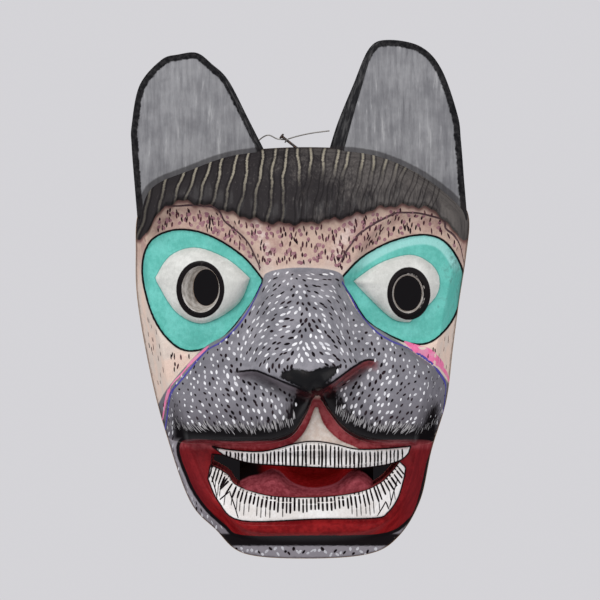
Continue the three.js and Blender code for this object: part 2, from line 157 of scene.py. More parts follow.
def ramp(t: Array, low: float, high: float) -> Array:
    """A smooth step from 0 at low to 1 at high."""
    s = np.clip((np.asarray(t, float) - low) / (high - low), 0, 1)
    return s * s * (3 - 2 * s)


def rounded(t: Array) -> Array:
    """A quarter circle's rise from 0 at t = 0 to 1 at t = 1."""
    return np.sqrt(1 - (1 - np.clip(t, 0, 1)) ** 2)


def soft_lower(a: Array, b: Array, width: float) -> Array:
    """The lower of two heights, with the corner between them rounded over a width."""
    blend = np.maximum(width - np.abs(a - b), 0) / width
    return np.minimum(a, b) - blend * blend * width / 4


def nearest_on(outline: Array, u: Array, v: Array, closed: bool = True) -> tuple[Array, Array, Array]:
    """The nearest point of a line to each of many points.

    Args:
        outline: the line's points.
        u, v: the points.
        closed: whether the line runs round to its start.

    Returns:
        The distance, and the nearest point's u and v.
    """
    ends = np.roll(outline, -1, axis=0)
    if u.size < 50:
        starts, stops = (outline, ends) if closed else (outline[:-1], ends[:-1])
        span = stops - starts
        offset = np.stack([u, v], -1)[:, None, :] - starts
        t = np.clip((offset * span).sum(-1) / ((span**2).sum(-1) + 1e-12), 0, 1)
        gap = np.linalg.norm(offset - t[..., None] * span, axis=-1)
        at = (np.arange(u.size), gap.argmin(1))
        spot = starts[at[1]] + t[at][:, None] * span[at[1]]
        return gap[at], spot[:, 0], spot[:, 1]
    best = np.full(u.shape, np.inf)
    near_u, near_v = np.array(u, float), np.array(v, float)
    for (a0, a1), (b0, b1) in zip(outline if closed else outline[:-1], ends if closed else ends[:-1]):
        du, dv = b0 - a0, b1 - a1
        t = np.clip(((u - a0) * du + (v - a1) * dv) / (du * du + dv * dv + 1e-12), 0, 1)
        pu, pv = a0 + t * du, a1 + t * dv
        away = np.hypot(u - pu, v - pv)
        closer = away < best
        best = np.where(closer, away, best)
        near_u, near_v = np.where(closer, pu, near_u), np.where(closer, pv, near_v)
    return best, near_u, near_v


def inside_by(outline: Array, u: Array, v: Array) -> Array:
    """Distance to a closed line, positive inside it.

    Args:
        outline: the line's points.
        u, v: the points on the drawing.

    Returns:
        One distance for each point.
    """
    if u.size < 50:
        (a0, a1), (b0, b1) = outline.T, np.roll(outline, -1, axis=0).T
        level = np.where(a1 == b1, 1e-9, b1 - a1)
        crossed = ((a1 > v[:, None]) != (b1 > v[:, None])) & (
            u[:, None] < a0 + (v[:, None] - a1) * (b0 - a0) / level
        )
        return np.where(crossed.sum(1) % 2, 1, -1) * nearest_on(outline, u, v)[0]
    inside = np.zeros(u.shape, bool)
    for (a0, a1), (b0, b1) in zip(outline, np.roll(outline, -1, axis=0)):
        if a1 != b1:
            inside ^= ((a1 > v) != (b1 > v)) & (u < a0 + (v - a1) * (b0 - a0) / (b1 - a1))
    return np.where(inside, 1, -1) * nearest_on(outline, u, v)[0]


def seen(u: Array, v: Array, depth: Array) -> Array:
    """The places, in metres, that are seen at (u, v) and stand at a depth."""
    shrink = 1 - depth / VIEW_DISTANCE
    return np.stack([u * shrink, -depth, v * shrink - HANG_HEIGHT], -1) * MM


# ---- the carver's drawing --------------------------------------------------------------------------

HEAD = smooth_line(
    [
        (0, 94), (30, 93), (52, 89), (76, 78), (97, 62), (104, 50), (102, 26), (98, 0), (94, -30), (90, -62),
        (81, -92), (74, -123), (61, -145), (43, -156), (6, -159), (-34, -156), (-52, -141), (-68, -123),
        (-83, -80), (-92, -45), (-100, 0), (-101, 30), (-100, 52), (-92, 71), (-67, 82), (-48, 89),
        (-28, 92.5),
    ],
    216,
    closed=True,
)
BROWS = [
    smooth_line(
        [
            (-83, 57), (-52, 56), (-31, 37), (-21, 12), (-34, -8), (-55, -31), (-72, -33), (-90, -16),
            (-99, 8), (-98, 36)
        ],
        80, True
    ),
    smooth_line(
        [
            (29, 15), (40, 37), (61, 54), (86, 50), (99, 28), (102, 5), (88, -23), (66, -29), (40, -13),
            (24, 9)
        ],
        80, True
    ),
]
SOCKETS = [
    np.vstack([
        smooth_line(
            [
                (-22.6, 12.2), (-35.5, 27.2), (-56, 39.8), (-76, 43.2), (-92, 36), (-97, 17), (-90, -11),
                (-76, -28.6), (-61, -30.5), (-45, -21), (-29, -1)
            ],
            60
        ),
        smooth_line([(-27.5, 2), (-22.6, 12.2)], 6),
    ]),
    np.vstack([
        smooth_line(
            [
                (24.7, 12.5), (38.4, 26.5), (58, 36.7), (78, 40), (92, 33), (101, 13), (95, -10),
                (82.7, -24.4), (70, -27), (55, -21.6), (41, -12.5), (31, 2.9)
            ],
            60
        ),
        smooth_line([(29.5, 5), (24.7, 12.5)], 6),
    ]),
]
EYEBALLS = [
    np.vstack([
        smooth_line([(-89, 13.7), (-80, 27), (-64.4, 32.2), (-45, 25.3), (-30.8, 13.4)], 24),
        smooth_line([(-31.5, 11), (-38.7, -3), (-59, -14.2), (-76, -7.5), (-88, 11)], 24),
    ]),
    np.vstack([
        smooth_line([(33, 11.7), (50, 23), (69.7, 27.6), (84, 18), (84, 3), (67.4, -13.6)], 32),
        smooth_line([(66, -13.7), (56, -11), (40, 4), (33.5, 11)], 14),
    ]),
]
MUZZLE = smooth_line(
    [
        (-20, 17), (0, 20), (24, 17), (29, 4), (40, -12), (64, -28), (90, -49), (95, -75), (90, -100),
        (-80, -100), (-90, -80), (-84, -58), (-61, -31), (-44, -20), (-33, -6), (-24, 8),
    ],
    160,
    closed=True,
)
LIPS = smooth_line(
    [
        (5, -86), (-40, -87), (-72.5, -87), (-68, -110), (-58.5, -126), (-46, -138), (-35, -144.5),
        (7, -144.7),
        (50, -143.5), (66, -135), (72, -124), (78, -99), (81.5, -87), (50, -86),
    ],
    140,
    closed=True,
)
UPPER_TEETH = np.vstack([
    smooth_line(
        [
            (-54, -90), (-43, -92.2), (-23, -93.2), (-4, -88.6), (8, -87), (21, -88.6), (34, -91.7),
            (49, -91.7), (68, -90)
        ],
        40
    ),
    smooth_line(
        [(66.5, -94.5), (61, -98.8), (49, -101.9), (28, -103.4), (-17, -101.4), (-33, -99.8), (-47, -95.3)],
        40
    ),
])
LOWER_TEETH = np.vstack([
    smooth_line(
        [
            (-55, -101.4), (-44, -106.8), (-38, -113.8), (-17, -120.2), (13, -120.7), (36, -117.7),
            (49, -112.4), (56, -106), (61, -99.3)
        ],
        48
    ),
    smooth_line(
        [
            (65, -103), (63.5, -111), (60, -122), (54, -130.5), (46, -134), (10, -134.6), (-36, -135.6),
            (-50, -124), (-56.5, -110)
        ],
        48
    ),
])
TOOTH_KINK = smooth_line(
    [(-57, -106), (-49, -117), (-40, -124.5), (-28, -126), (42, -125.6), (53, -121), (61, -106)], 40
)
MOUTH_GAP = np.vstack([
    smooth_line(
        [(-54, -95), (-47, -95.9), (-33, -100.3), (-17, -101.9), (28, -103.9), (49, -102.4), (61, -99.4)], 40
    ),
    smooth_line(
        [
            (60.5, -100), (55.5, -106.3), (48.6, -112.6), (36, -117.9), (13, -120.9), (-17, -120.4),
            (-38.3, -114), (-44.3, -107), (-54.5, -101)
        ],
        48
    ),
])
CREAM = np.vstack([
    smooth_line([(-14, -93), (-3, -87.5), (4, -79), (9.2, -66)], 18),
    smooth_line([(10.8, -66), (15, -77), (24, -86), (37, -93), (14, -96), (-14, -93)], 30),
])
NOSE_TIP = np.array(
    [
        (-11, -44), (-4, -42.5), (6, -44), (16, -41), (25, -40.5), (22, -45), (16, -50.5), (11, -57),
        (7, -57.5), (2, -54.5), (-5, -51), (-12, -47.5)
    ],
    float,
)
NOSE_LINE: list[Point] = [
    (-40, -44), (-28, -43), (-17, -47), (-5, -52), (8, -56), (20, -50), (31, -42), (41, -36.5), (50, -38)
]
JOWL_LINE: list[Point] = [
    (-88, -74), (-81.5, -84), (-73, -87.4), (-58, -88.2), (-30, -89), (-12, -86.5), (-3, -81.5), (4, -70),
    (9.8, -58.5),
    (18, -69), (25, -78), (33, -84), (45, -88), (66, -89), (78, -88.2), (83.5, -85), (89, -74),
]
HAIR_LINE: list[Point] = [
    (-98, 37), (-83, 57), (-58, 58), (-37, 52), (-21, 48), (0, 47), (28, 51), (61, 58), (86, 52), (98, 38)
]

hair_edge = profile(*HAIR_LINE)
nose_edge = profile(*NOSE_LINE)
jowl_edge = profile(*JOWL_LINE)


def above_hair(u: Array, v: Array) -> Array:
    """How far each point lies above the hair's ragged lower edge."""
    return v - hair_edge(u) - 0.9 * np.sin(u / 2.4) - 0.6 * np.sin(u / 1.1 + 1)


muzzle_rise = profile((-100, 33), (-75, 33), (-45, 26), (-20, 18), (0, 11), (18, 2))
nose_rise = profile((-60, 20.5), (-48, 21.5), (-38, 23.5), (-20, 20), (0, 14), (18, 3))
nose_half = profile((-60, 44), (-48, 44), (-35, 36), (-20, 30), (0, 26), (18, 22))
nose_middle = profile((-50, 7), (0, 1))
wall_slope = profile((-150, 5.5), (-120, 6.5), (40, 6.5), (80, 9))


@dataclass(frozen=True)
class SightHole:
    """A tapering hole that the wearer looks out of.

    Its middle and half sizes on the drawing are given at the eyeball's surface and in the hollow,
    with the outer edge of the black ring round it.
    """

    front: tuple[float, float, float, float]
    back: tuple[float, float, float, float]
    ring: tuple[float, float, float, float]


SIGHT_HOLES = [
    SightHole(front=(-61.1, 6.6, 11.7, 14.3), back=(-57.8, 7.7, 7.9, 11.3), ring=(-61.3, 6.5, 14.8, 17.6)),
    SightHole(front=(66.4, 3.9, 9.6, 12), back=(66.3, 4.1, 8.6, 10.9), ring=(66.9, 4, 13.3, 16.2)),
]


class Grooves:
    """The carved grooves that part the hair, fanned from the left to the right."""

    COUNT = 24
    FIRST_U = -84.6
    SPACING = 7.65
    TOP_V = 90.0

    def __init__(self) -> None:
        """Places each groove by its u at the top, with a little wander."""
        chance = random.Random(SEED)
        tops = [self.FIRST_U + self.SPACING * i + chance.uniform(-0.8, 0.8) for i in range(self.COUNT)]
        self.tops: Array = np.array(tops)
        self.leans: Array = 0.03 + 0.3 * np.minimum(np.abs(self.tops) / 70, 1) + np.array(
            [chance.uniform(-0.05, 0.05) for _ in tops]
        )
        self.phases: Array = np.array([chance.uniform(0, 6.3) for _ in tops])

    def distance(self, u: Array, v: Array) -> Array:
        """How far each point is from the nearest groove's middle.

        Args:
            u, v: the points on the drawing.

        Returns:
            One distance for each point.
        """
        best = np.full(u.shape, np.inf)
        for top, lean, phase in zip(self.tops, self.leans, self.phases):
            middle = top + (v - self.TOP_V) * lean + 0.7 * np.sin(v / 6 + phase) + 0.3 * np.sin(
                v / 2.3 + 2 * phase
            )
            best = np.minimum(best, np.abs(u - middle))
        return best


class Carving:
    """The depth of the carved front, of the hollow behind it, and of the tongue."""

    def __init__(self) -> None:
        """Sets out the hair's grooves."""
        self.grooves = Grooves()

    @staticmethod
    def cheek(u: Array) -> Array:
        """Depth of the cheeks and forehead."""
        return FACE_DEPTH - SIDE_FALL * np.abs(u / 90) ** 2.5

    @staticmethod
    def mouth_frame(u: Array) -> Array:
        """Depth of the lips and teeth, which fall back to the corners of the mouth."""
        return FRAME_DEPTH - FRAME_FALL * np.abs((u - FRAME_MIDDLE) / FRAME_HALF) ** 2.4

    def upper(self, u: Array, v: Array) -> Array:
        """Depth of the forehead, hair and eyes.

        Args:
            u, v: the points on the drawing.

        Returns:
            One depth for each point.
        """
        depth = self.cheek(u)
        for brow, socket, ball in zip(BROWS, SOCKETS, EYEBALLS):
            depth = depth - (SOCKET_DROP - 2) * ramp(inside_by(brow, u, v), -1, 6)
            depth = depth - 2 * ramp(inside_by(socket, u, v), -0.6, 1.2)
            depth = depth + EYE_BULGE * rounded(inside_by(ball, u, v) / 15)
        over_hair = above_hair(u, v)
        depth = depth + HAIR_RISE * ramp(over_hair, -0.8, 2.2) - 0.016 * np.maximum(over_hair, 0) ** 2
        notch = np.maximum(1.3 - self.grooves.distance(u, v), 0)
        return depth - 1.25 * notch * ramp(over_hair, 1, 6) * (0.35 + 0.65 * ramp(v, 60, 88))

    def muzzle(self, u: Array, v: Array) -> Array:
        """Depth of the snout and jowls.

        Args:
            u, v: the points on the drawing.

        Returns:
            One depth for each point.
        """
        within = inside_by(MUZZLE, u, v)
        across = (u - nose_middle(v)) / nose_half(v)
        under_nose = ramp(v - nose_edge(u), -4.5, 0.6)
        nose = nose_rise(v) * np.exp(-1.6 * across**4) * under_nose * ramp(within, 0, 8)
        tip = 2.2 * np.exp(-(((u - 9) / 15) ** 2) - ((v + 47) / 7) ** 2)
        nostrils = 0.0
        for middle, width in ((-16.0, 13.0), (31.0, 12.0)):
            nostrils = nostrils + 4.5 * np.exp(
                -(((u - middle) / width) ** 2) - ((v - nose_edge(u) + 4.5) / 3.5) ** 2
            )
        crease = 2.5 * np.exp(-(((u - 9.8) / 2.5) ** 2)) * ramp(-50 - v, 0, 5)
        return self.upper(u, v) + np.where(
            within > 0, muzzle_rise(v) * rounded(within / 26) + nose + tip - nostrils - crease, 0
        )

    def mouth(self, u: Array, v: Array) -> Array:
        """Depth of the lips, teeth and chin.

        Args:
            u, v: the points on the drawing.

        Returns:
            One depth for each point.
        """
        within = inside_by(LIPS, u, v)
        upper, lower = inside_by(UPPER_TEETH, u, v), inside_by(LOWER_TEETH, u, v)
        roll = 2.4 * (ramp(within, -0.5, 3) - ramp(within, 6, 9.5))
        kink = nearest_on(TOOTH_KINK, u, v, closed=False)[0]
        above_kink = np.where(np.hypot((u - 3) / 52, (v + 96) / 29) < 1, 1, -1) * kink
        facet = 0.62 * np.maximum(above_kink, 0) * ramp(lower, -0.4, 0.6)
        chin = 30 * ramp(-143.5 - v, 0, 11)
        cream = 1.6 * ramp(inside_by(CREAM, u, v), -0.8, 0.8)
        teeth = 2.6 * ramp(np.maximum(upper, lower), -0.7, 0.7)
        return self.mouth_frame(u) + roll + teeth + cream - facet - chin

    def front(self, u: Array, v: Array, from_edge: Array) -> Array:
        """Depth of the whole front, at points a given distance inside the silhouette.

        Args:
            u, v: the points on the drawing.
            from_edge: their distances from the silhouette.

        Returns:
            One depth for each point.
        """
        share = ramp(v - jowl_edge(u), -0.6, 2.2) * 0.72 + 0.28 * rounded((v - jowl_edge(u)) / 13)
        mouth = self.mouth(u, v)
        depth = mouth + (self.muzzle(u, v) - mouth) * share
        facets = 0.35 * np.sin(u / 7.3 + 0.8 * np.sin(v / 9.1)) * np.sin(v / 8.7 + 0.9 * np.sin(u / 10.7))
        return np.maximum(soft_lower(depth + facets, wall_slope(v) * from_edge, 8), 0)

    def hollow(self, u: Array, v: Array, from_edge: Array) -> Array:
        """Depth of the hollow, with the gouge's cuts, at points inside its outline.

        Args:
            u, v: the points on the drawing.
            from_edge: their distances from the hollow's outline.

        Returns:
            One depth for each point.
        """
        reach = np.hypot((u - FRAME_MIDDLE) / 64, (v + 75) / 60)
        depth = HOLLOW_DEPTH + HOLLOW_MUZZLE * (1 - ramp(reach, 0.25, 1))
        gouges = 0.7 * np.abs(np.sin(u / 5.2 + 0.7 * np.sin(v / 13))) + 0.4 * np.abs(
            np.sin(v / 9.5 + np.sin(u / 8))
        )
        return np.maximum(soft_lower(depth - gouges, 4 * from_edge, 12), 0)


tongue_rim = profile(
    (-38, -112), (-31, -108.5), (-24, -107), (-17, -104.3), (-12, -106), (-6, -111.5), (4, -115.4),
    (13, -115.4), (23, -112.3), (31, -106), (35, -104.6), (39, -106), (46, -112)
)


def tongue_depth(u: Array, v: Array) -> Array:
    """Depth of the tongue: a slope up from the lower teeth to a raised rim, and a scoop behind it.

    Args:
        u, v: the points on the drawing.

    Returns:
        One depth for each point.
    """
    over = v - tongue_rim(u)
    front = 66 - 1.5 * over
    scoop = 62 - 3.4 * over - 3 * ramp(over, 0, 1.5)
    return np.clip(np.where(over < 0, front, scoop), 33, 76)


# ---- finishes ------------------------------------------------------------------------------------


def linear(red: int, green: int, blue: int) -> tuple[float, float, float, float]:
    """A colour from display values of 0 to 255."""
    parts = [part / 255 for part in (red, green, blue)]
    return (*(part / 12.92 if part <= 0.04045 else ((part + 0.055) / 1.055) ** 2.4 for part in parts), 1.0)


class Hue(Enum):
    """The colours of the paints, wood, rust and dirt, and of painted highlight and shade, as display values
    of 0 to 255.
    """

    WOOD_STAIN = (92, 66, 46)
    RUST = (104, 62, 38)
    CHEEK_CREAM = (218, 204, 192)
    CHEEK_PEACH = (230, 206, 190)
    BROW_MAUVE = (180, 148, 138)
    BROW_TAN = (202, 176, 160)
    BROW_VEIL = (228, 210, 204)
    HAIR_SHADOW = (96, 58, 58)
    HAIR_BLACK = (49, 46, 47)
    HAIR_WORN = (112, 107, 103)
    HAIR_STREAK = (116, 112, 108)
    GROOVE_DARK = (28, 26, 27)
    GROOVE_BARE = (160, 153, 136)
    TEAL = (96, 184, 171)
    TEAL_PALE = (118, 205, 193)
    TEAL_SHEEN = (168, 226, 220)
    TEAL_WORN = (62, 96, 86)
    SOCKET_LINE = (22, 24, 26)
    EYE_GREY = (206, 207, 201)
    EYE_WHITE = (224, 225, 219)
    EYE_EDGE = (40, 60, 58)
    RING_BLACK = (24, 21, 22)
    RING_WORN = (170, 165, 158)
    SNOUT_GREY = (124, 123, 129)
    SNOUT_PALE = (148, 146, 152)
    SNOUT_SIDE = (112, 110, 117)
    SNOUT_LOW = (96, 92, 98)
    JOWL_GREY = (66, 63, 65)
    JOWL_BLACK = (20, 18, 20)
    WING_DARK = (70, 34, 38)
    WING_RED = (140, 50, 52)
    NOSE_LINE_BLACK = (22, 19, 22)
    NOSE_BLACK = (6, 6, 9)
    STRIP_GREY = (146, 141, 147)
    STRIP_PALE = (174, 169, 174)
    STRIP_LOW = (122, 117, 121)
    CHIN_BLACK = (30, 26, 28)
    CHIN_GREY = (164, 159, 164)
    LIP_LINE = (26, 22, 24)
    LIP_DARK = (112, 18, 22)
    LIP_RED = (146, 32, 34)
    LIP_ROSE = (150, 54, 60)
    LIP_PINK = (182, 88, 92)
    LIP_CORNER = (104, 38, 44)
    CREAM = (228, 210, 196)
    CREAM_PALE = (242, 230, 220)
    TOOTH_IVORY = (226, 221, 216)
    TOOTH_WHITE = (243, 241, 239)
    TOOTH_LINE = (34, 20, 22)
    GAP_BLACK = (22, 14, 15)
    RIM_DIRT = (58, 50, 48)
    CHIP_BARE = (206, 196, 182)
    GRIME = (70, 62, 58)
    EAR_GREY = (116, 116, 119)
    EAR_PALE = (148, 148, 150)
    EAR_STREAK = (186, 186, 186)
    EAR_SHADE = (98, 98, 101)
    EAR_RIM = (26, 26, 28)
    EAR_RIM_WORN = (52, 51, 52)
    EAR_SIDE = (38, 38, 40)
    EAR_SIDE_PALE = (84, 83, 83)
    EAR_FOOT = (48, 45, 46)
    TONGUE_ROSE = (124, 50, 58)
    TONGUE_PINK = (158, 76, 84)
    TONGUE_RIM = (186, 96, 106)
    TONGUE_RIM_DARK = (152, 66, 76)
    TONGUE_DEEP = (150, 26, 30)
    TONGUE_RED = (184, 40, 44)
    TONGUE_CORNER = (30, 22, 24)

    @property
    def rgba(self) -> tuple[float, float, float, float]:
        """The colour as a finish takes it."""
        return linear(*self.value)


class Wire:
    """One socket's output, which ordinary arithmetic joins to Math nodes."""

    def __init__(self, shader: "Shader", socket: bpy.types.NodeSocket) -> None:
        """Keeps the socket and the shader that owns it."""
        self.shader, self.socket = shader, socket

    def math(self, operation: str, *terms: "Wire | float", clamp: bool = False) -> "Wire":
        """Adds one Math node.

        Args:
            operation: the node's operation.
            terms: its inputs in order.
            clamp: whether the result is held between 0 and 1.

        Returns:
            The node's output.
        """
        settings = {"operation": operation, "use_clamp": clamp}
        return self.shader.node("ShaderNodeMath", settings, dict(enumerate(terms)))

    def __add__(self, other: "Wire | float") -> "Wire":
        """self + other."""
        return self.math("ADD", self, other)

    __radd__ = __add__

    def __mul__(self, other: "Wire | float") -> "Wire":
        """self * other."""
        return self.math("MULTIPLY", self, other)

    __rmul__ = __mul__

    def __sub__(self, other: "Wire | float") -> "Wire":
        """self - other."""
        return self.math("SUBTRACT", self, other)

    def __rsub__(self, other: float) -> "Wire":
        """other - self."""
        return self.math("SUBTRACT", other, self)

    def __abs__(self) -> "Wire":
        """The size of self."""
        return self.math("ABSOLUTE", self)

    def either(self, other: "Wire") -> "Wire":
        """The greater of two masks."""
        return self.math("MAXIMUM", self, other)

    def step(self, low: float, high: float) -> "Wire":
        """A smooth mask that is 0 below low and 1 above high, or the other way where high is lower."""
        flip = high < low
        ends = {1: min(low, high), 2: max(low, high), 3: float(flip), 4: float(not flip)}
        return self.shader.node("ShaderNodeMapRange", {"interpolation_type": "SMOOTHSTEP"}, {0: self, **ends})

    def band(self, middle: float, half: float, soft: float) -> "Wire":
        """A mask that is 1 within half of a middle value and fades out over a soft margin."""
        return abs(self - middle).step(half + soft, half)


class Shader:
    """A material being wired up."""

    def __init__(self, name: str) -> None:
        """Starts an empty node material."""
        self.material = bpy.data.materials.new(name)
        self.material.use_nodes = True
        self.tree = self.material.node_tree
        self.tree.nodes.clear()

    def node(
        self, kind: str, settings: dict | None = None, inputs: dict | None = None, output: int | str = 0
    ) -> Wire:
        """Adds a node.

        Args:
            kind: the node's type.
            settings: its properties, set before its sockets.
            inputs: a value or a link for each socket, by name or place.
            output: which output to hand back.

        Returns:
            The chosen output.
        """
        node = self.tree.nodes.new(kind)
        for key, value in (settings or {}).items():
            setattr(node, key, value)
        for key, value in (inputs or {}).items():
            if isinstance(value, Wire):
                self.tree.links.new(value.socket, node.inputs[key])
            else:
                node.inputs[key].default_value = value
        return Wire(self, node.outputs[output]) if len(node.outputs) else Wire(self, None)

    def attribute(self, name: str) -> Wire:
        """A number kept on the mesh."""
        return self.node("ShaderNodeAttribute", {"attribute_name": name}, output="Fac")

    def place(self, stretch: Sequence[float] = (1, 1, 1), turn: float = 0.0) -> Wire:
        """Object coordinates in millimetres, stretched and turned about the line of sight."""
        at = self.node("ShaderNodeTexCoord", output="Object")
        scale = tuple(1000 * part for part in stretch)
        return self.node("ShaderNodeMapping", None, {0: at, "Rotation": (0.0, turn, 0.0), "Scale": scale})

    def noise(
        self, size: float, stretch: Sequence[float] = (1, 1, 1), detail: float = 3, turn: float = 0.0
    ) -> Wire:
        """Cloudy noise about 0.5, with patches of a size in millimetres."""
        inputs = {"Vector": self.place(stretch, turn), "Scale": 1 / size, "Detail": detail, "Roughness": 0.6}
        return self.node("ShaderNodeTexNoise", None, inputs)

    def mix(
        self, mask: Wire | float, below: Wire | Sequence[float], above: Wire | Sequence[float],
        blend: str = "MIX"
    ) -> Wire:
        """Lays one colour over another where a mask is 1."""
        return self.node(
            "ShaderNodeMix", {"data_type": "RGBA", "blend_type": blend}, {0: mask, 6: below, 7: above}, 2
        )

    def patchy(self, cloud: Wire, low: float, high: float, first: Hue, second: Hue) -> Wire:
        """Two shades of one paint, in patches that follow a cloud about 0."""
        return self.mix((cloud + 0.5).step(low, high), first.rgba, second.rgba)

    def tint(self, colour: Wire | Sequence[float], value: Wire | float) -> Wire:
        """Makes a colour lighter or darker by a factor about 1."""
        grey = self.node("ShaderNodeCombineXYZ", None, {0: value, 1: value, 2: value})
        return self.mix(1.0, colour, grey, "MULTIPLY")

    def bump(self, height: Wire, distance: float, strength: float = 1.0, under: Wire | None = None) -> Wire:
        """Relief of a depth in millimetres."""
        inputs = {"Height": height, "Distance": distance * MM, "Strength": strength}
        return self.node("ShaderNodeBump", None, inputs | ({"Normal": under} if under else {}))

    def finish(
        self, colour: Wire | Sequence[float], roughness: Wire | float, normal: Wire, **constants: float
    ) -> bpy.types.Material:
        """Joins everything to one surface.

        Args:
            colour: the base colour.
            roughness: how matt it is.
            normal: the relief.
            constants: other sockets of the surface, with spaces written as underscores.

        Returns:
            The finished material.
        """
        inputs = {"Base Color": colour, "Roughness": roughness, "Normal": normal}
        inputs |= {key.replace("_", " "): value for key, value in constants.items()}
        surface = self.node("ShaderNodeBsdfPrincipled", None, inputs)
        self.node("ShaderNodeOutputMaterial", None, {"Surface": surface})
        return self.material


@dataclass(frozen=True)
class BrushPaint:
    """A coat of artist's paint laid on with a brush, with streaks and a slight unevenness."""

    name: str
    colour: Shade
    other: Shade
    gloss: float = 0.45

    def make(self) -> bpy.types.Material:
        """Builds the material."""
        s = Shader(self.name)
        patches = s.noise(5).step(0.35, 0.65)
        colour = s.mix(patches, linear(*self.colour), linear(*self.other))
        streaks = s.noise(1.2, (1, 1, 0.3))
        relief = s.bump(streaks, 0.06)
        return s.finish(
            s.tint(colour, streaks * 0.3 + 0.85), streaks * 0.25 + self.gloss, relief, Specular_IOR_Level=0.0
        )


@dataclass(frozen=True)
class BareWood:
    """Pale soft wood, worked with a gouge and never painted, with grain along the mask's height."""

    name: str
    pale: Shade = (194, 158, 116)
    dark: Shade = (142, 106, 72)

    def make(self) -> bpy.types.Material:
        """Builds the material."""
        s = Shader(self.name)
        grain = s.noise(2.2, (1, 1, 0.06), 5)
        broad = s.noise(22, (1, 1, 0.25), 2)
        colour = s.mix((grain * 0.7 + broad * 0.45).step(0.35, 0.8), linear(*self.dark), linear(*self.pale))
        stains = s.noise(30).step(0.5, 0.75)
        colour = s.mix(stains * 0.35, colour, Hue.WOOD_STAIN.rgba)
        pores = s.noise(0.7, (1, 1, 0.08), 2)
        relief = s.bump(pores, 0.12, under=s.bump(grain, 0.25))
        return s.finish(s.tint(colour, pores * 0.5 + 0.72), 0.85 - 0.2 * grain, relief)


@dataclass(frozen=True)
class OldMetal:
    """Drawn or forged metal, dulled and spotted with rust."""

    name: str
    colour: Shade
    rust: float
    roughness: float

    def make(self) -> bpy.types.Material:
        """Builds the material."""
        s = Shader(self.name)
        spots = s.noise(1.1, detail=4).step(0.62 - 0.2 * self.rust, 0.72)
        colour = s.mix(spots, linear(*self.colour), Hue.RUST.rgba)
        pits = s.noise(0.4)
        return s.finish(colour, pits * 0.25 + self.roughness, s.bump(pits, 0.05), Metallic=0.85)


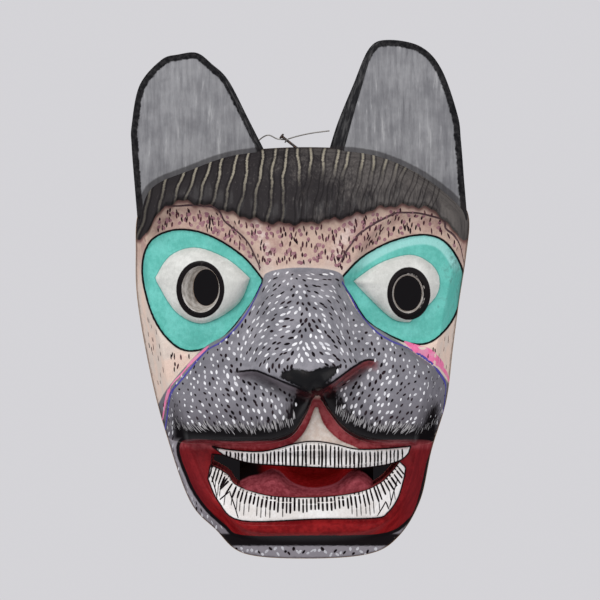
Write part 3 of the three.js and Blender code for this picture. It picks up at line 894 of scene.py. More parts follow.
class FacePaint:
    """All the colours of the painted front, laid one over another as the painter laid them."""

    def __init__(self) -> None:
        """Starts the material and reads what the mesh keeps."""
        self.s = Shader("face_paint")
        names = (
            "across", "height", "hair", "groove", "socket", "ball", "ring", "muzzle", "jowl", "nose", "tip",
            "lips", "upper_teeth", "lower_teeth", "cream", "rim", "gap",
        )
        self.at = {name: self.s.attribute(name) for name in names}
        self.ragged = self.s.noise(2.6, detail=4) - 0.5
        self.fine = self.s.noise(0.9, detail=3) - 0.5
        self.broad = self.s.noise(14, detail=3) - 0.5
        self.upright = self.s.noise(1.5, (1.4, 1, 0.22), 3) - 0.5

    def skin(self) -> Wire:
        """The forehead's pink-tan, paler and creamier down the cheeks."""
        s, at = self.s, self.at
        low = s.patchy(self.broad, 0.4, 0.62, Hue.CHEEK_CREAM, Hue.CHEEK_PEACH)
        high = s.patchy(self.ragged * 0.6 + self.broad, 0.35, 0.65, Hue.BROW_MAUVE, Hue.BROW_TAN)
        skin = s.mix((at["height"] + self.broad * 26).step(6, 34), low, high)
        # pale paint with painted highlight, in slanting bands beside the brows' inner ends
        left = abs(at["across"] + 28 - (51 - at["height"]) * 0.38).step(4.5, 1)
        right = abs(at["across"] - 35 + (52 - at["height"]) * 0.55).step(6.5, 1.5)
        pale_and_highlight = left.either(right)
        pale_and_highlight = pale_and_highlight * at["height"].step(19, 28) * at["height"].step(60, 48) * (
            self.ragged + 0.5
        ).step(0.3, 0.65)
        return s.mix(pale_and_highlight * 0.6, skin, Hue.BROW_VEIL.rgba)

    def hair(self, under: Wire) -> Wire:
        """The charcoal hair with pale grooves edged in painted shadow, and the maroon shadow along its lower
        edge.
        """
        s, at = self.s, self.at
        edge = at["hair"] + self.ragged * 1.6
        colour = s.mix(edge.step(-3.2, -0.4) * 0.8, under, Hue.HAIR_SHADOW.rgba)
        # the hair is painted paler towards the top and the right, and in patches
        light = (
            at["across"] * 0.006 + at["height"] * 0.007 + self.broad * 1.2 + self.upright
        ).step(0.35, 1.15)
        coat = s.mix(light * 0.7, Hue.HAIR_BLACK.rgba, Hue.HAIR_WORN.rgba)
        coat = s.mix((self.upright + self.fine * 0.5).step(0.12, 0.34) * 0.3, coat, Hue.HAIR_STREAK.rgba)
        left = at["across"].step(8, -14)
        bare = at["across"].step(-8, 6) * at["height"].step(86, 78) * 0.3
        fade = at["height"].step(60, 92) * 0.75 + left * 0.2 + 0.05 - bare
        cut = (at["groove"] + self.ragged * 1.6 + self.fine).step(0.85, 0.35)
        # painted shadow along both sides of each groove
        coat = s.mix(
            (at["groove"] + self.ragged * 0.5).band(1.5, 0.25, 0.4) * 0.55, coat, Hue.GROOVE_DARK.rgba
        )
        coat = s.mix(cut * fade.step(0.0, 0.85), coat, Hue.GROOVE_BARE.rgba)
        return s.mix(edge.step(-0.5, 0.5), colour, coat)

    def eyes(self, under: Wire) -> Wire:
        """Turquoise sockets outlined in black, with off-white eyeballs and a black ring round each hole."""
        s, at = self.s, self.at
        right = at["across"].step(-5, 5)
        # painted highlight: a paler teal band along the top of the right socket
        painted_highlight = (at["socket"].band(3.2, 1.5, 2.5) * at["height"].step(12, 26) * right).step(0.1, 1) * 0.75
        teal = s.patchy(self.broad + self.ragged * 0.5, 0.3, 0.7, Hue.TEAL, Hue.TEAL_PALE)
        teal = s.mix(painted_highlight, teal, Hue.TEAL_SHEEN.rgba)
        # the right socket's outer side is darker: stains together with painted shade
        stain_and_shade = (at["across"] * 0.05 + self.ragged * 2.4 + self.broad * 2).step(4.4, 5.4) * right
        teal = s.mix(stain_and_shade * 0.55, teal, Hue.TEAL_WORN.rgba)
        thick = at["socket"] + self.ragged * 0.7
        colour = s.mix(thick.step(-0.9, -0.5), under, Hue.SOCKET_LINE.rgba)
        colour = s.mix(thick.step(0.4, 0.8), colour, teal)
        white = s.patchy(self.broad + self.ragged * 0.6, 0.35, 0.7, Hue.EYE_GREY, Hue.EYE_WHITE)
        line = at["ball"] + self.ragged * 0.5
        colour = s.mix(line.step(-0.7, -0.2) * 0.35, colour, Hue.EYE_EDGE.rgba)
        colour = s.mix(line.step(-0.2, 0.25), colour, white)
        ring = at["ring"] + self.fine * 0.4
        colour = s.mix(ring.step(-0.2, 0.15), colour, Hue.RING_BLACK.rgba)
        return s.mix(ring.band(3.4, 0.15, 0.2) * self.ragged.step(0.0, 0.15), colour, Hue.RING_WORN.rgba)

    def snout(self, under: Wire) -> Wire:
        """The grey muzzle, darker down its sides and black along the jowls' lower edge."""
        s, at = self.s, self.at
        side = abs(at["across"] - 6)
        grey = s.patchy(self.broad + self.ragged * 0.5, 0.3, 0.7, Hue.SNOUT_GREY, Hue.SNOUT_PALE)
        grey = s.mix((side - at["height"] * 0.25).step(42, 74) * 0.55, grey, Hue.SNOUT_SIDE.rgba)
        grey = s.mix(at["height"].step(-52, -76) * 0.6, grey, Hue.SNOUT_LOW.rgba)
        front = (at["across"] + self.ragged * 3).step(-80, -75) * (
            at["across"] + self.ragged * 3
        ).step(87, 82)
        grey = s.mix(
            ((at["jowl"] + self.upright * 10 + self.ragged * 3).step(17, 9)) * front * 0.6, grey,
            Hue.JOWL_GREY.rgba
        )
        grey = s.mix(
            (at["jowl"] + self.upright * 9 + self.ragged * 2).step(12.5, 9) * front, grey, Hue.JOWL_BLACK.rgba
        )
        below = at["nose"] + self.ragged
        wing = abs(at["across"] - 4).step(46, 40)
        maroon = s.mix(
            (self.ragged + at["across"] * 0.006).step(0.0, 0.3), Hue.WING_DARK.rgba, Hue.WING_RED.rgba
        )
        grey = s.mix(
            below.step(-8, -2.5) * below.step(0.5, -0.6) * wing * (0.35 + at["across"].step(8, 30) * 0.5),
            grey, maroon
        )
        grey = s.mix(below.band(-0.4, 0.35, 0.6) * wing, grey, Hue.NOSE_LINE_BLACK.rgba)
        black = at["tip"] + self.ragged * 2.6 + self.fine * 2.4
        grey = s.mix(black.step(-0.9, 0.3), grey, Hue.NOSE_BLACK.rgba)
        mask = (at["muzzle"] + self.fine * 0.6).step(-0.3, 0.4) * (
            at["jowl"] + self.fine * 0.5
        ).step(-0.5, 0.1)
        return s.mix(mask, under, grey)

    def jaw(self, under: Wire) -> Wire:
        """Everything below the jowls: side strips, chin, lips, teeth and gums."""
        s, at = self.s, self.at
        below = (at["jowl"] + self.fine * 0.4).step(0.1, -0.4)
        strip = s.patchy(self.broad + self.ragged, 0.3, 0.7, Hue.STRIP_GREY, Hue.STRIP_PALE)
        strip = s.mix(at["height"].step(-120, -150) * 0.7, strip, Hue.STRIP_LOW.rgba)
        colour = s.mix((at["height"] + self.broad * 10).step(-64, -80), under, strip)
        chin = s.mix(
            (at["height"] + self.ragged * 2).step(-150.6, -151.8), Hue.CHIN_BLACK.rgba, Hue.CHIN_GREY.rgba
        )
        colour = s.mix(at["height"].step(-143, -144.4), colour, chin)
        colour = s.mix((at["lips"] + self.ragged * 1.2).step(-2.5, -1.7), colour, Hue.LIP_LINE.rgba)
        reds = s.patchy(self.broad + self.ragged * 0.8, 0.3, 0.72, Hue.LIP_DARK, Hue.LIP_RED)
        upper = s.patchy(self.ragged + self.broad, 0.35, 0.7, Hue.LIP_ROSE, Hue.LIP_PINK)
        reds = s.mix((at["height"] + self.ragged * 2).step(-93, -89.5), reds, upper)
        # painted shade: the red is darker towards the mouth's corners, recessed behind the jowls
        reds = s.mix(abs(at["across"] - 4).step(52, 66) * 0.5, reds, Hue.LIP_CORNER.rgba)
        wedge = below * abs(at["across"] - 8).step(46, 38) * at["height"].step(-100, -96)
        lips = (at["lips"] + self.ragged * 0.6).step(-0.3, 0.3)
        mouth = s.mix(lips.either(wedge), colour, reds)
        cream = s.patchy(self.ragged, 0.35, 0.7, Hue.CREAM, Hue.CREAM_PALE)
        mouth = s.mix((at["cream"] + self.fine * 0.8).step(-0.4, 0.2), mouth, cream)
        ivory = s.patchy(self.broad + self.ragged * 0.7, 0.3, 0.75, Hue.TOOTH_IVORY, Hue.TOOTH_WHITE)
        for teeth in ("upper_teeth", "lower_teeth"):
            line = at[teeth] + self.fine * 0.4
            mouth = s.mix(line.step(-0.75, -0.35), mouth, Hue.TOOTH_LINE.rgba)
            mouth = s.mix(line.step(0.15, 0.5), mouth, ivory)
        mouth = s.mix(at["gap"].step(-0.9, -0.3), mouth, Hue.GAP_BLACK.rgba)
        reach = below * at["height"].step(-58, -62)
        return s.mix(reach.either(at["height"].step(-84, -90)), under, mouth)

    def make(self) -> bpy.types.Material:
        """Builds the material."""
        s, at = self.s, self.at
        colour = self.jaw(self.snout(self.eyes(self.hair(self.skin()))))
        # darker within a millimetre or two of the front's outer edge
        edge = (at["rim"] + self.ragged * 2.2).step(1.5, 0.3)
        colour = s.mix(edge * 0.65, colour, Hue.RIM_DIRT.rgba)
        chips = (s.noise(2.1, detail=5) - 0.5 + at["rim"].step(7, 0) * 0.08).step(0.25, 0.28)
        colour = s.mix(chips * 0.5, colour, Hue.CHIP_BARE.rgba)
        dirt = s.noise(9, detail=5).step(0.55, 0.8)
        colour = s.mix(dirt * 0.16, colour, Hue.GRIME.rgba)
        brush = s.noise(0.8, (1, 1, 0.35), 3, 0.4)
        colour = s.tint(colour, 0.9 + self.fine * 0.22 + brush * 0.2)
        jowls = at["jowl"].step(7, 3) * at["jowl"].step(-0.8, 0.2) * at["muzzle"].step(-1, 1)
        wet = at["tip"].step(-1, 2).either(jowls)
        rough = 0.6 + self.ragged * 0.2 - wet * 0.28
        relief = s.bump(brush, 0.1, under=s.bump(self.ragged, 0.3))
        coat = (wet * 0.3 + 0.1) * at["rim"].step(9, 15)
        return s.finish(colour, rough, relief, Specular_IOR_Level=0.0, Coat_Weight=coat, Coat_Roughness=0.22)


class EarPaint:
    """An ear's dark rim and its streaky grey panel."""

    def make(self) -> bpy.types.Material:
        """Builds the material."""
        s = Shader("ear_paint")
        rim, side, foot = s.attribute("rim"), s.attribute("side"), s.attribute("foot")
        streak = s.noise(3.2, (1.3, 1, 0.09), 5, 0.12)
        ragged = s.noise(2.4, detail=4) - 0.5
        broad = s.noise(16)
        panel = s.mix(
            (streak * 0.6 + broad * 0.55).step(0.4, 0.75), Hue.EAR_GREY.rgba, Hue.EAR_PALE.rgba
        )
        panel = s.mix(streak.step(0.6, 0.7) * 0.4, panel, Hue.EAR_STREAK.rgba)
        panel = s.mix(streak.step(0.38, 0.28) * 0.4, panel, Hue.EAR_SHADE.rgba)
        dark = s.patchy(ragged, 0.35, 0.75, Hue.EAR_RIM, Hue.EAR_RIM_WORN)
        colour = s.mix((rim + ragged * 2.2 + (streak - 0.5) * 0.8).step(3.5, 4.4), dark, panel)
        facet = s.mix(streak.step(0.42, 0.7), Hue.EAR_SIDE.rgba, Hue.EAR_SIDE_PALE.rgba)
        colour = s.mix((side + ragged * 0.8).step(-0.2, 0.6), colour, facet)
        # painted shade along the ear's foot, where it meets the head
        colour = s.mix((foot + ragged).step(1.8, 0.6) * 0.7, colour, Hue.EAR_FOOT.rgba)
        fine = s.noise(0.8, (1, 1, 0.3))
        relief = s.bump(fine, 0.1, under=s.bump(streak, 0.22))
        coat = rim.step(3, 6) * side.step(0.4, -0.4) * 0.14
        colour = s.tint(colour, 0.88 + fine * 0.24)
        return s.finish(
            colour, 0.5 + ragged * 0.25, relief, Specular_IOR_Level=0.0, Coat_Weight=coat, Coat_Roughness=0.35
        )


# ---- meshes --------------------------------------------------------------------------------------


def drawn(points: Array) -> tuple[Array, Array, Array]:
    """The (u, v) and depth of places given in metres."""
    depth = -points[:, 1] / MM
    shrink = 1 - depth / VIEW_DISTANCE
    return points[:, 0] / MM / shrink, (points[:, 2] / MM + HANG_HEIGHT) / shrink, depth


def mesh_drawn(mesh: bpy.types.Mesh) -> tuple[Array, Array, Array]:
    """The (u, v) and depth of a mesh's vertices."""
    flat = np.empty(len(mesh.vertices) * 3)
    mesh.vertices.foreach_get("co", flat)
    return drawn(flat.reshape(-1, 3))


def locations(verts: Iterable[bmesh.types.BMVert]) -> Array:
    """The vertices' places, one row each."""
    return np.array([vert.co for vert in verts])


def move(verts: Iterable[bmesh.types.BMVert], places: Array) -> None:
    """Puts each vertex at its place."""
    for vert, place in zip(verts, places):
        vert.co = place


def keep(mesh: bpy.types.Mesh, name: str, values: Array) -> None:
    """Keeps a number on each vertex for the finishes to read."""
    mesh.attributes.new(name, "FLOAT", "POINT").data.foreach_set("value", values.astype(np.float32))


def piece_from(bm: bmesh.types.BMesh, name: str, materials: Sequence[bpy.types.Material]) -> bpy.types.Object:
    """Makes an object in the scene from a finished bmesh.

    Args:
        bm: the mesh, which is freed.
        name: the piece's name.
        materials: its finishes in slot order.

    Returns:
        The object, smooth-shaded.
    """
    mesh = bpy.data.meshes.new(name)
    bm.to_mesh(mesh)
    bm.free()
    mesh.shade_smooth()
    for material in materials:
        mesh.materials.append(material)
    obj = bpy.data.objects.new(name, mesh)
    bpy.context.scene.collection.objects.link(obj)
    return obj


def star_reach(outline: Array, middle: Point, angle: Array) -> Array:
    """How far an outline lies from its middle in each direction.

    Args:
        outline: the outline's points.
        middle: a point that sees all of it.
        angle: the directions.

    Returns:
        One distance for each direction.
    """
    across, up = outline[:, 0] - middle[0], outline[:, 1] - middle[1]
    turns, reach = np.arctan2(up, across), np.hypot(across, up)
    order = np.argsort(turns)
    return np.interp(angle, turns[order], reach[order], period=2 * np.pi)


def concentric(cells: int, crowding: float) -> tuple[Array, Array]:
    """The direction and the share of the way out of each point of a square grid.

    Args:
        cells: how many cells the grid has each way.
        crowding: how much closer together its rings lie near the edge.

    Returns:
        Angles and shares, in the order of a bmesh grid's vertices.
    """
    line = np.linspace(-1, 1, cells + 1)
    a, b = (part.ravel() for part in np.meshgrid(line, line))
    ring = np.maximum(np.abs(a), np.abs(b))
    wide = np.abs(a) >= np.abs(b)
    safe_a, safe_b = np.where(a == 0, 1, a), np.where(b == 0, 1, b)
    angle = np.where(
        wide, np.pi / 4 * b / safe_a + np.where(a < 0, np.pi, 0),
        np.pi / 2 - np.pi / 4 * a / safe_b + np.where(b < 0, np.pi, 0)
    )
    return (angle + np.pi) % (2 * np.pi) - np.pi, 1 - (1 - ring) ** crowding


class Coat(IntEnum):
    """The head's finishes in slot order."""

    FRONT = 0
    BORE = 1
    WOOD = 2
    GUM = 3


@dataclass
class Opening:
    """A hole cut through the head, as matching outlines on the front and in the hollow."""

    front: Array
    back: Array
    rings: int = 5

    def follow(self, u: Array, v: Array, line: Array) -> Array:
        """Where along an outline, in points, each (u, v) lies nearest.

        Args:
            u, v: the points on the drawing.
            line: the outline's points.

        Returns:
            One place along the outline for each point.
        """
        starts, ends = line, np.roll(line, -1, axis=0)
        span = ends - starts
        offset = np.stack([u, v], -1)[:, None, :] - starts
        t = np.clip((offset * span).sum(-1) / (span**2).sum(-1), 0, 1)
        away = np.linalg.norm(offset - t[..., None] * span, axis=-1)
        nearest = away.argmin(1)
        return nearest + t[np.arange(len(nearest)), nearest]

    @staticmethod
    def point(line: Array, along: Array) -> Array:
        """The points of an outline at places along it.

        Args:
            line: the outline's points.
            along: the places, counted in points.

        Returns:
            One point for each place.
        """
        index = np.floor(along).astype(int)
        part = (along - index)[:, None]
        return line[index % len(line)] * (1 - part) + line[(index + 1) % len(line)] * part


def ellipse(middle_u: float, middle_v: float, half_u: float, half_v: float, count: int = 64) -> Array:
    """An ellipse on the drawing."""
    angles = np.linspace(0, 2 * np.pi, count, endpoint=False)
    return np.stack([middle_u + half_u * np.cos(angles), middle_v + half_v * np.sin(angles)], -1)


@dataclass
class Head:
    """The head: one block carved and painted in front and gouged hollow behind."""

    carving: Carving
    front_cells: int = 276
    hollow_cells: int = 92
    crowding: float = 1.35
    rim_depth: float = 0.5
    through: float = 0.973  # a straight cut's size on the drawing in the hollow, against the lips
    wall_reach: float = 0.985  # the share of the way back that a hole's drawn wall covers
    rim_step: float = 0.9
    front_margin: float = 0.25
    hollow_margin: float = 0.6
    hollow_crowding: float = 1.1
    mouth_walls: float = 1.5  # walls lower than this many hanging heights are the mouth's
    openings: list[Opening] = field(default_factory=list)

    def __post_init__(self) -> None:
        """Sets out the sight holes and the gap between the teeth."""
        for hole in SIGHT_HOLES:
            self.openings.append(Opening(ellipse(*hole.front), ellipse(*hole.back)))
        self.openings.append(Opening(MOUTH_GAP, MOUTH_GAP * self.through))

    def sheet(
        self, bm: bmesh.types.BMesh, cells: int, share: float, middle_v: float, crowding: float,
        depth_of: Callable
    ) -> list:
        """Lays a grid over the outline and gives it depth.

        Args:
            bm: the mesh that gets the grid.
            cells: how many cells it has each way.
            share: the outline's size against the silhouette.
            middle_v: the height of the point that the outline is measured from.
            crowding: how much closer its rings lie near the edge.
            depth_of: the depth at (u, v) and a distance from the edge.

        Returns:
            The grid's vertices.
        """
        verts = bmesh.ops.create_grid(bm, x_segments=cells, y_segments=cells, size=1)["verts"]
        angle, out = concentric(cells, crowding)
        middle = (0.0, middle_v)
        outline = (HEAD - middle) * share + middle
        reach = star_reach(outline, middle, angle)
        u, v = np.cos(angle) * reach * out, middle_v + np.sin(angle) * reach * out
        depth = np.maximum(depth_of(u, v, reach * (1 - out)), self.rim_depth)
        depth[out >= 1] = self.rim_depth + (self.rim_step if share == 1 else 0)
        move(verts, seen(u, v, depth))
        return verts

    def cut(self, bm: bmesh.types.BMesh, verts: list, line: Array, margin: float, depth_of: Callable) -> list:
        """Cuts a hole in a sheet and brings the cut's edge onto the hole's outline.

        Args:
            bm: the mesh.
            verts: the sheet's vertices, from which the cut ones are taken out.
            line: the hole's outline.
            margin: how far outside the outline vertices are also taken out.
            depth_of: the sheet's depth.

        Returns:
            The edges round the hole.
        """
        u, v, _ = drawn(locations(verts))
        inside = inside_by(line, u, v) > -margin
        gone = [vert for vert, cut in zip(verts, inside) if cut]
        border = {other for vert in gone for edge in vert.link_edges for other in edge.verts} | {
            other for vert in gone for face in vert.link_faces for other in face.verts
        }
        border -= set(gone)
        verts[:] = [vert for vert, cut in zip(verts, inside) if not cut]
        bmesh.ops.delete(bm, geom=gone, context="VERTS")
        around = [vert for vert in verts if vert in border]
        u, v, _ = drawn(locations(around))
        opening = Opening(line, line)
        places = opening.point(line, opening.follow(u, v, line))
        depth = depth_of(places[:, 0], places[:, 1], np.full(len(around), WELL_INSIDE))
        move(around, seen(places[:, 0], places[:, 1], depth))
        return [edge for edge in {edge for vert in around for edge in vert.link_edges} if edge.is_boundary]

    def tunnel(self, bm: bmesh.types.BMesh, opening: Opening, edges: list) -> list:
        """Draws a hole's wall back from the front to the hollow.

        Args:
            bm: the mesh.
            opening: the hole's two outlines.
            edges: the hole's edge on the front.

        Returns:
            The edges at the wall's far end.
        """
        for ring in range(1, opening.rings + 1):
            made = bmesh.ops.extrude_edge_only(bm, edges=edges)["geom"]
            verts = [item for item in made if isinstance(item, bmesh.types.BMVert)]
            edges = [item for item in made if isinstance(item, bmesh.types.BMEdge) and item.is_boundary]
            if ring == 1:
                u, v, start = drawn(locations(verts))
                along = {
                    vert: (place, depth) for vert, place,
                    depth in zip(verts, opening.follow(u, v, opening.front), start)
                }
            else:
                along = {vert: self.parent(vert, before) for vert in verts}
            before = along
            places = np.array([along[vert][0] for vert in verts])
            start = np.array([along[vert][1] for vert in verts])
            far = opening.point(opening.back, places)
            near = opening.point(opening.front, places)
            part = ring / opening.rings * self.wall_reach
            at = near + (far - near) * part
            end = self.carving.hollow(far[:, 0], far[:, 1], np.full(len(verts), WELL_INSIDE))
            move(verts, seen(at[:, 0], at[:, 1], start + (end - start) * part))
        return edges

    @staticmethod
    def parent(vert: bmesh.types.BMVert, known: dict) -> tuple[float, float]:
        """What is known of the vertex that a new one was drawn from."""
        return next(known[other] for edge in vert.link_edges for other in edge.verts if other in known)

    def build(self, materials: Sequence[bpy.types.Material]) -> tuple[bpy.types.Object, BVHTree]:
        """Carves the head.

        Args:
            materials: the finishes of the front, the sight holes' walls, the bare back and the mouth's walls.

        Returns:
            The head, and its front for laying strokes on.
        """
        bm = bmesh.new()
        verts = self.sheet(bm, self.front_cells, 1, CENTRE_V, self.crowding, self.carving.front)
        front_edge = [edge for edge in bm.edges if edge.is_boundary]
        ends = [
            self.cut(bm, verts, opening.front, self.front_margin, self.carving.front)
            for opening in self.openings
        ]
        bm.normal_update()
        surface = BVHTree.FromBMesh(bm)
        for face in bm.faces:
            face.material_index = Coat.FRONT
        front_faces = set(bm.faces)
        ends = [self.tunnel(bm, opening, edges) for opening, edges in zip(self.openings, ends)]
        for face in set(bm.faces) - front_faces:
            low = face.calc_center_median().z < -HANG_HEIGHT * MM * self.mouth_walls
            face.material_index = Coat.GUM if low else Coat.BORE
        walls = set(bm.faces)
        verts = self.sheet(
            bm, self.hollow_cells, HOLLOW_SHARE, HOLLOW_V, self.hollow_crowding, self.carving.hollow
        )
        within = set(verts)
        back_edge = [edge for edge in bm.edges if edge.is_boundary and edge.verts[0] in within]
        for opening, edges in zip(self.openings, ends):
            hole = self.cut(bm, verts, opening.back, self.hollow_margin, self.carving.hollow)
            bmesh.ops.bridge_loops(bm, edges=edges + hole)
        bmesh.ops.bridge_loops(bm, edges=front_edge + back_edge)
        for face in set(bm.faces) - walls:
            face.material_index = Coat.WOOD
        bmesh.ops.triangulate(bm, faces=[face for face in bm.faces if len(face.verts) > 4])
        bmesh.ops.recalc_face_normals(bm, faces=bm.faces)
        open_edges = sum(not edge.is_manifold for edge in bm.edges)
        LOG.info("head: %d faces, %d open edges", len(bm.faces), open_edges)
        obj = piece_from(bm, "head_carving", materials)
        self.mark(obj.data)
        return obj, surface

    def mark(self, mesh: bpy.types.Mesh) -> None:
        """Keeps on the mesh how far each point lies inside each painted area."""
        u, v, _ = mesh_drawn(mesh)
        jowl_line, nose_line = smooth_line(JOWL_LINE, 90), smooth_line(NOSE_LINE, 60)
        rings = [
            (1 - np.hypot((u - r[0]) / r[2], (v - r[1]) / r[3])) * r[2]
            for r in (hole.ring for hole in SIGHT_HOLES)
        ]
        for name, values in {
            "across": u,
            "height": v,
            "hair": above_hair(u, v),
            "groove": self.carving.grooves.distance(u, v),
            "socket": np.maximum(*(inside_by(line, u, v) for line in SOCKETS)),
            "ball": np.maximum(*(inside_by(line, u, v) for line in EYEBALLS)),
            "ring": np.maximum(*rings),
            "muzzle": inside_by(MUZZLE, u, v),
            "jowl": nearest_on(jowl_line, u, v, False)[0] * np.sign(v - jowl_edge(u)),
            "nose": nearest_on(nose_line, u, v, False)[0] * np.sign(v - nose_edge(u)),
            "tip": inside_by(NOSE_TIP, u, v),
            "lips": inside_by(LIPS, u, v),
            "upper_teeth": inside_by(UPPER_TEETH, u, v),
            "lower_teeth": inside_by(LOWER_TEETH, u, v),
            "cream": inside_by(CREAM, u, v),
            "gap": inside_by(MOUTH_GAP, u, v),
            "rim": inside_by(HEAD, u, v),
        }.items():
            keep(mesh, name, values)


@dataclass
class Brush:
    """Lays raised strokes of one paint on a carved surface and keeps them as one piece."""

    name: str
    surface: BVHTree
    lift: float = 0.2
    bm: bmesh.types.BMesh = field(default_factory=bmesh.new)

    def land(self, u: float, v: float) -> tuple[Vector, Vector] | None:
        """The place and the outward direction of the surface that is seen at (u, v).

        Args:
            u, v: the point on the drawing.

        Returns:
            The place and direction, or None where nothing is seen.
        """
        eye = Vector((0.0, -VIEW_DISTANCE, -HANG_HEIGHT)) * MM
        aim = Vector((u, VIEW_DISTANCE, v)).normalized()
        place, normal, _, _ = self.surface.ray_cast(eye, aim)
        if place is None:
            return None
        return place, normal if normal.dot(aim) < 0 else -normal

    def ribbon(self, spots: Sequence[tuple[Vector, Vector]], width: float, lift: float, swell: float) -> None:
        """Lays paint along landed places, with its width measured on the surface.

        Args:
            spots: the middle line's places and outward directions.
            width: the stroke's greatest width.
            lift: how far its middle stands off the surface.
            swell: how much it narrows at its ends, from 0 to 1.
        """
        count = len(spots)
        verts = bmesh.ops.create_grid(self.bm, x_segments=count - 1, y_segments=2, size=1)["verts"]
        for column, (place, normal) in enumerate(spots):
            ahead = spots[min(column + 1, count - 1)][0] - spots[max(column - 1, 0)][0]
            aside = normal.cross(ahead).normalized()
            part = 2 * column / (count - 1) - 1
            half = width / 2 * (1 - swell + swell * math.sqrt(max(1 - part * part, 0))) * MM
            for row in (0, 1, 2):
                spot, out = (place, normal) if row == 1 else self.surface.find_nearest(
                    place + aside * (half * (row - 1))
                )[:2]
                out = out if out.dot(normal) > 0 else -out
                raised = lift if row == 1 and 0 < column < count - 1 else lift * 0.35
                verts[row * count + column].co = spot + out * (raised * MM)

    def stroke(self, line: Array, width: float, lift: float | None = None, swell: float = 0.35) -> None:
        """Lays one stroke along a line on the drawing, where the surface is seen.

        Args:
            line: its middle line.
            width: its greatest width.
            lift: how far its middle stands off the surface, in place of the brush's own.
            swell: how much it narrows at its ends, from 0 to 1.
        """
        spots = [self.land(*point) for point in line]
        landed = [spot for spot in spots if spot is not None]
        if len(landed) > 2:
            self.ribbon(landed, width, self.lift if lift is None else lift, swell)

    def dab(self, u: float, v: float, lean: float, length: float, width: float) -> None:
        """Lays one short dab that leans from upright by an angle.

        Args:
            u, v: its middle on the drawing.
            lean: the angle.
            length: its length on the surface.
            width: its greatest width.
        """
        spot = self.land(u, v)
        if spot is None:
            return
        place, normal = spot
        up = (Vector((0, 0, 1)) - normal * normal.z).normalized()
        run = up * math.cos(lean) + normal.cross(up) * math.sin(lean)
        path = []
        for part in (-0.5, -0.25, 0.0, 0.25, 0.5):
            near, out = self.surface.find_nearest(place + run * (part * length * MM))[:2]
            path.append((near, out if out.dot(normal) > 0 else -out))
        self.ribbon(path, width, self.lift, 0.75)

    def finish(self, material: bpy.types.Material) -> bpy.types.Object:
        """Makes the piece, with its strokes facing out."""
        self.bm.normal_update()
        if sum(face.normal.y for face in self.bm.faces) > 0:
            bmesh.ops.reverse_faces(self.bm, faces=self.bm.faces[:])
        return piece_from(self.bm, self.name, [material])


def wander(line: Array, amount: float, chance: random.Random, period: float = 9.0) -> Array:
    """A line that strays a little, as a hand-drawn one does.

    Args:
        line: the line's points.
        amount: how far it strays.
        chance: the source of its wander.
        period: the length over which it turns.

    Returns:
        The strayed points.
    """
    phases = [chance.uniform(0, 6.3) for _ in range(4)]
    run = np.concatenate([[0], np.cumsum(np.linalg.norm(np.diff(line, axis=0), axis=1))]) / period
    stray = [np.sin(run * 1.7 + phases[i]) + 0.5 * np.sin(run * 4.1 + phases[i + 1]) for i in (0, 2)]
    return line + amount * np.stack(stray, -1)


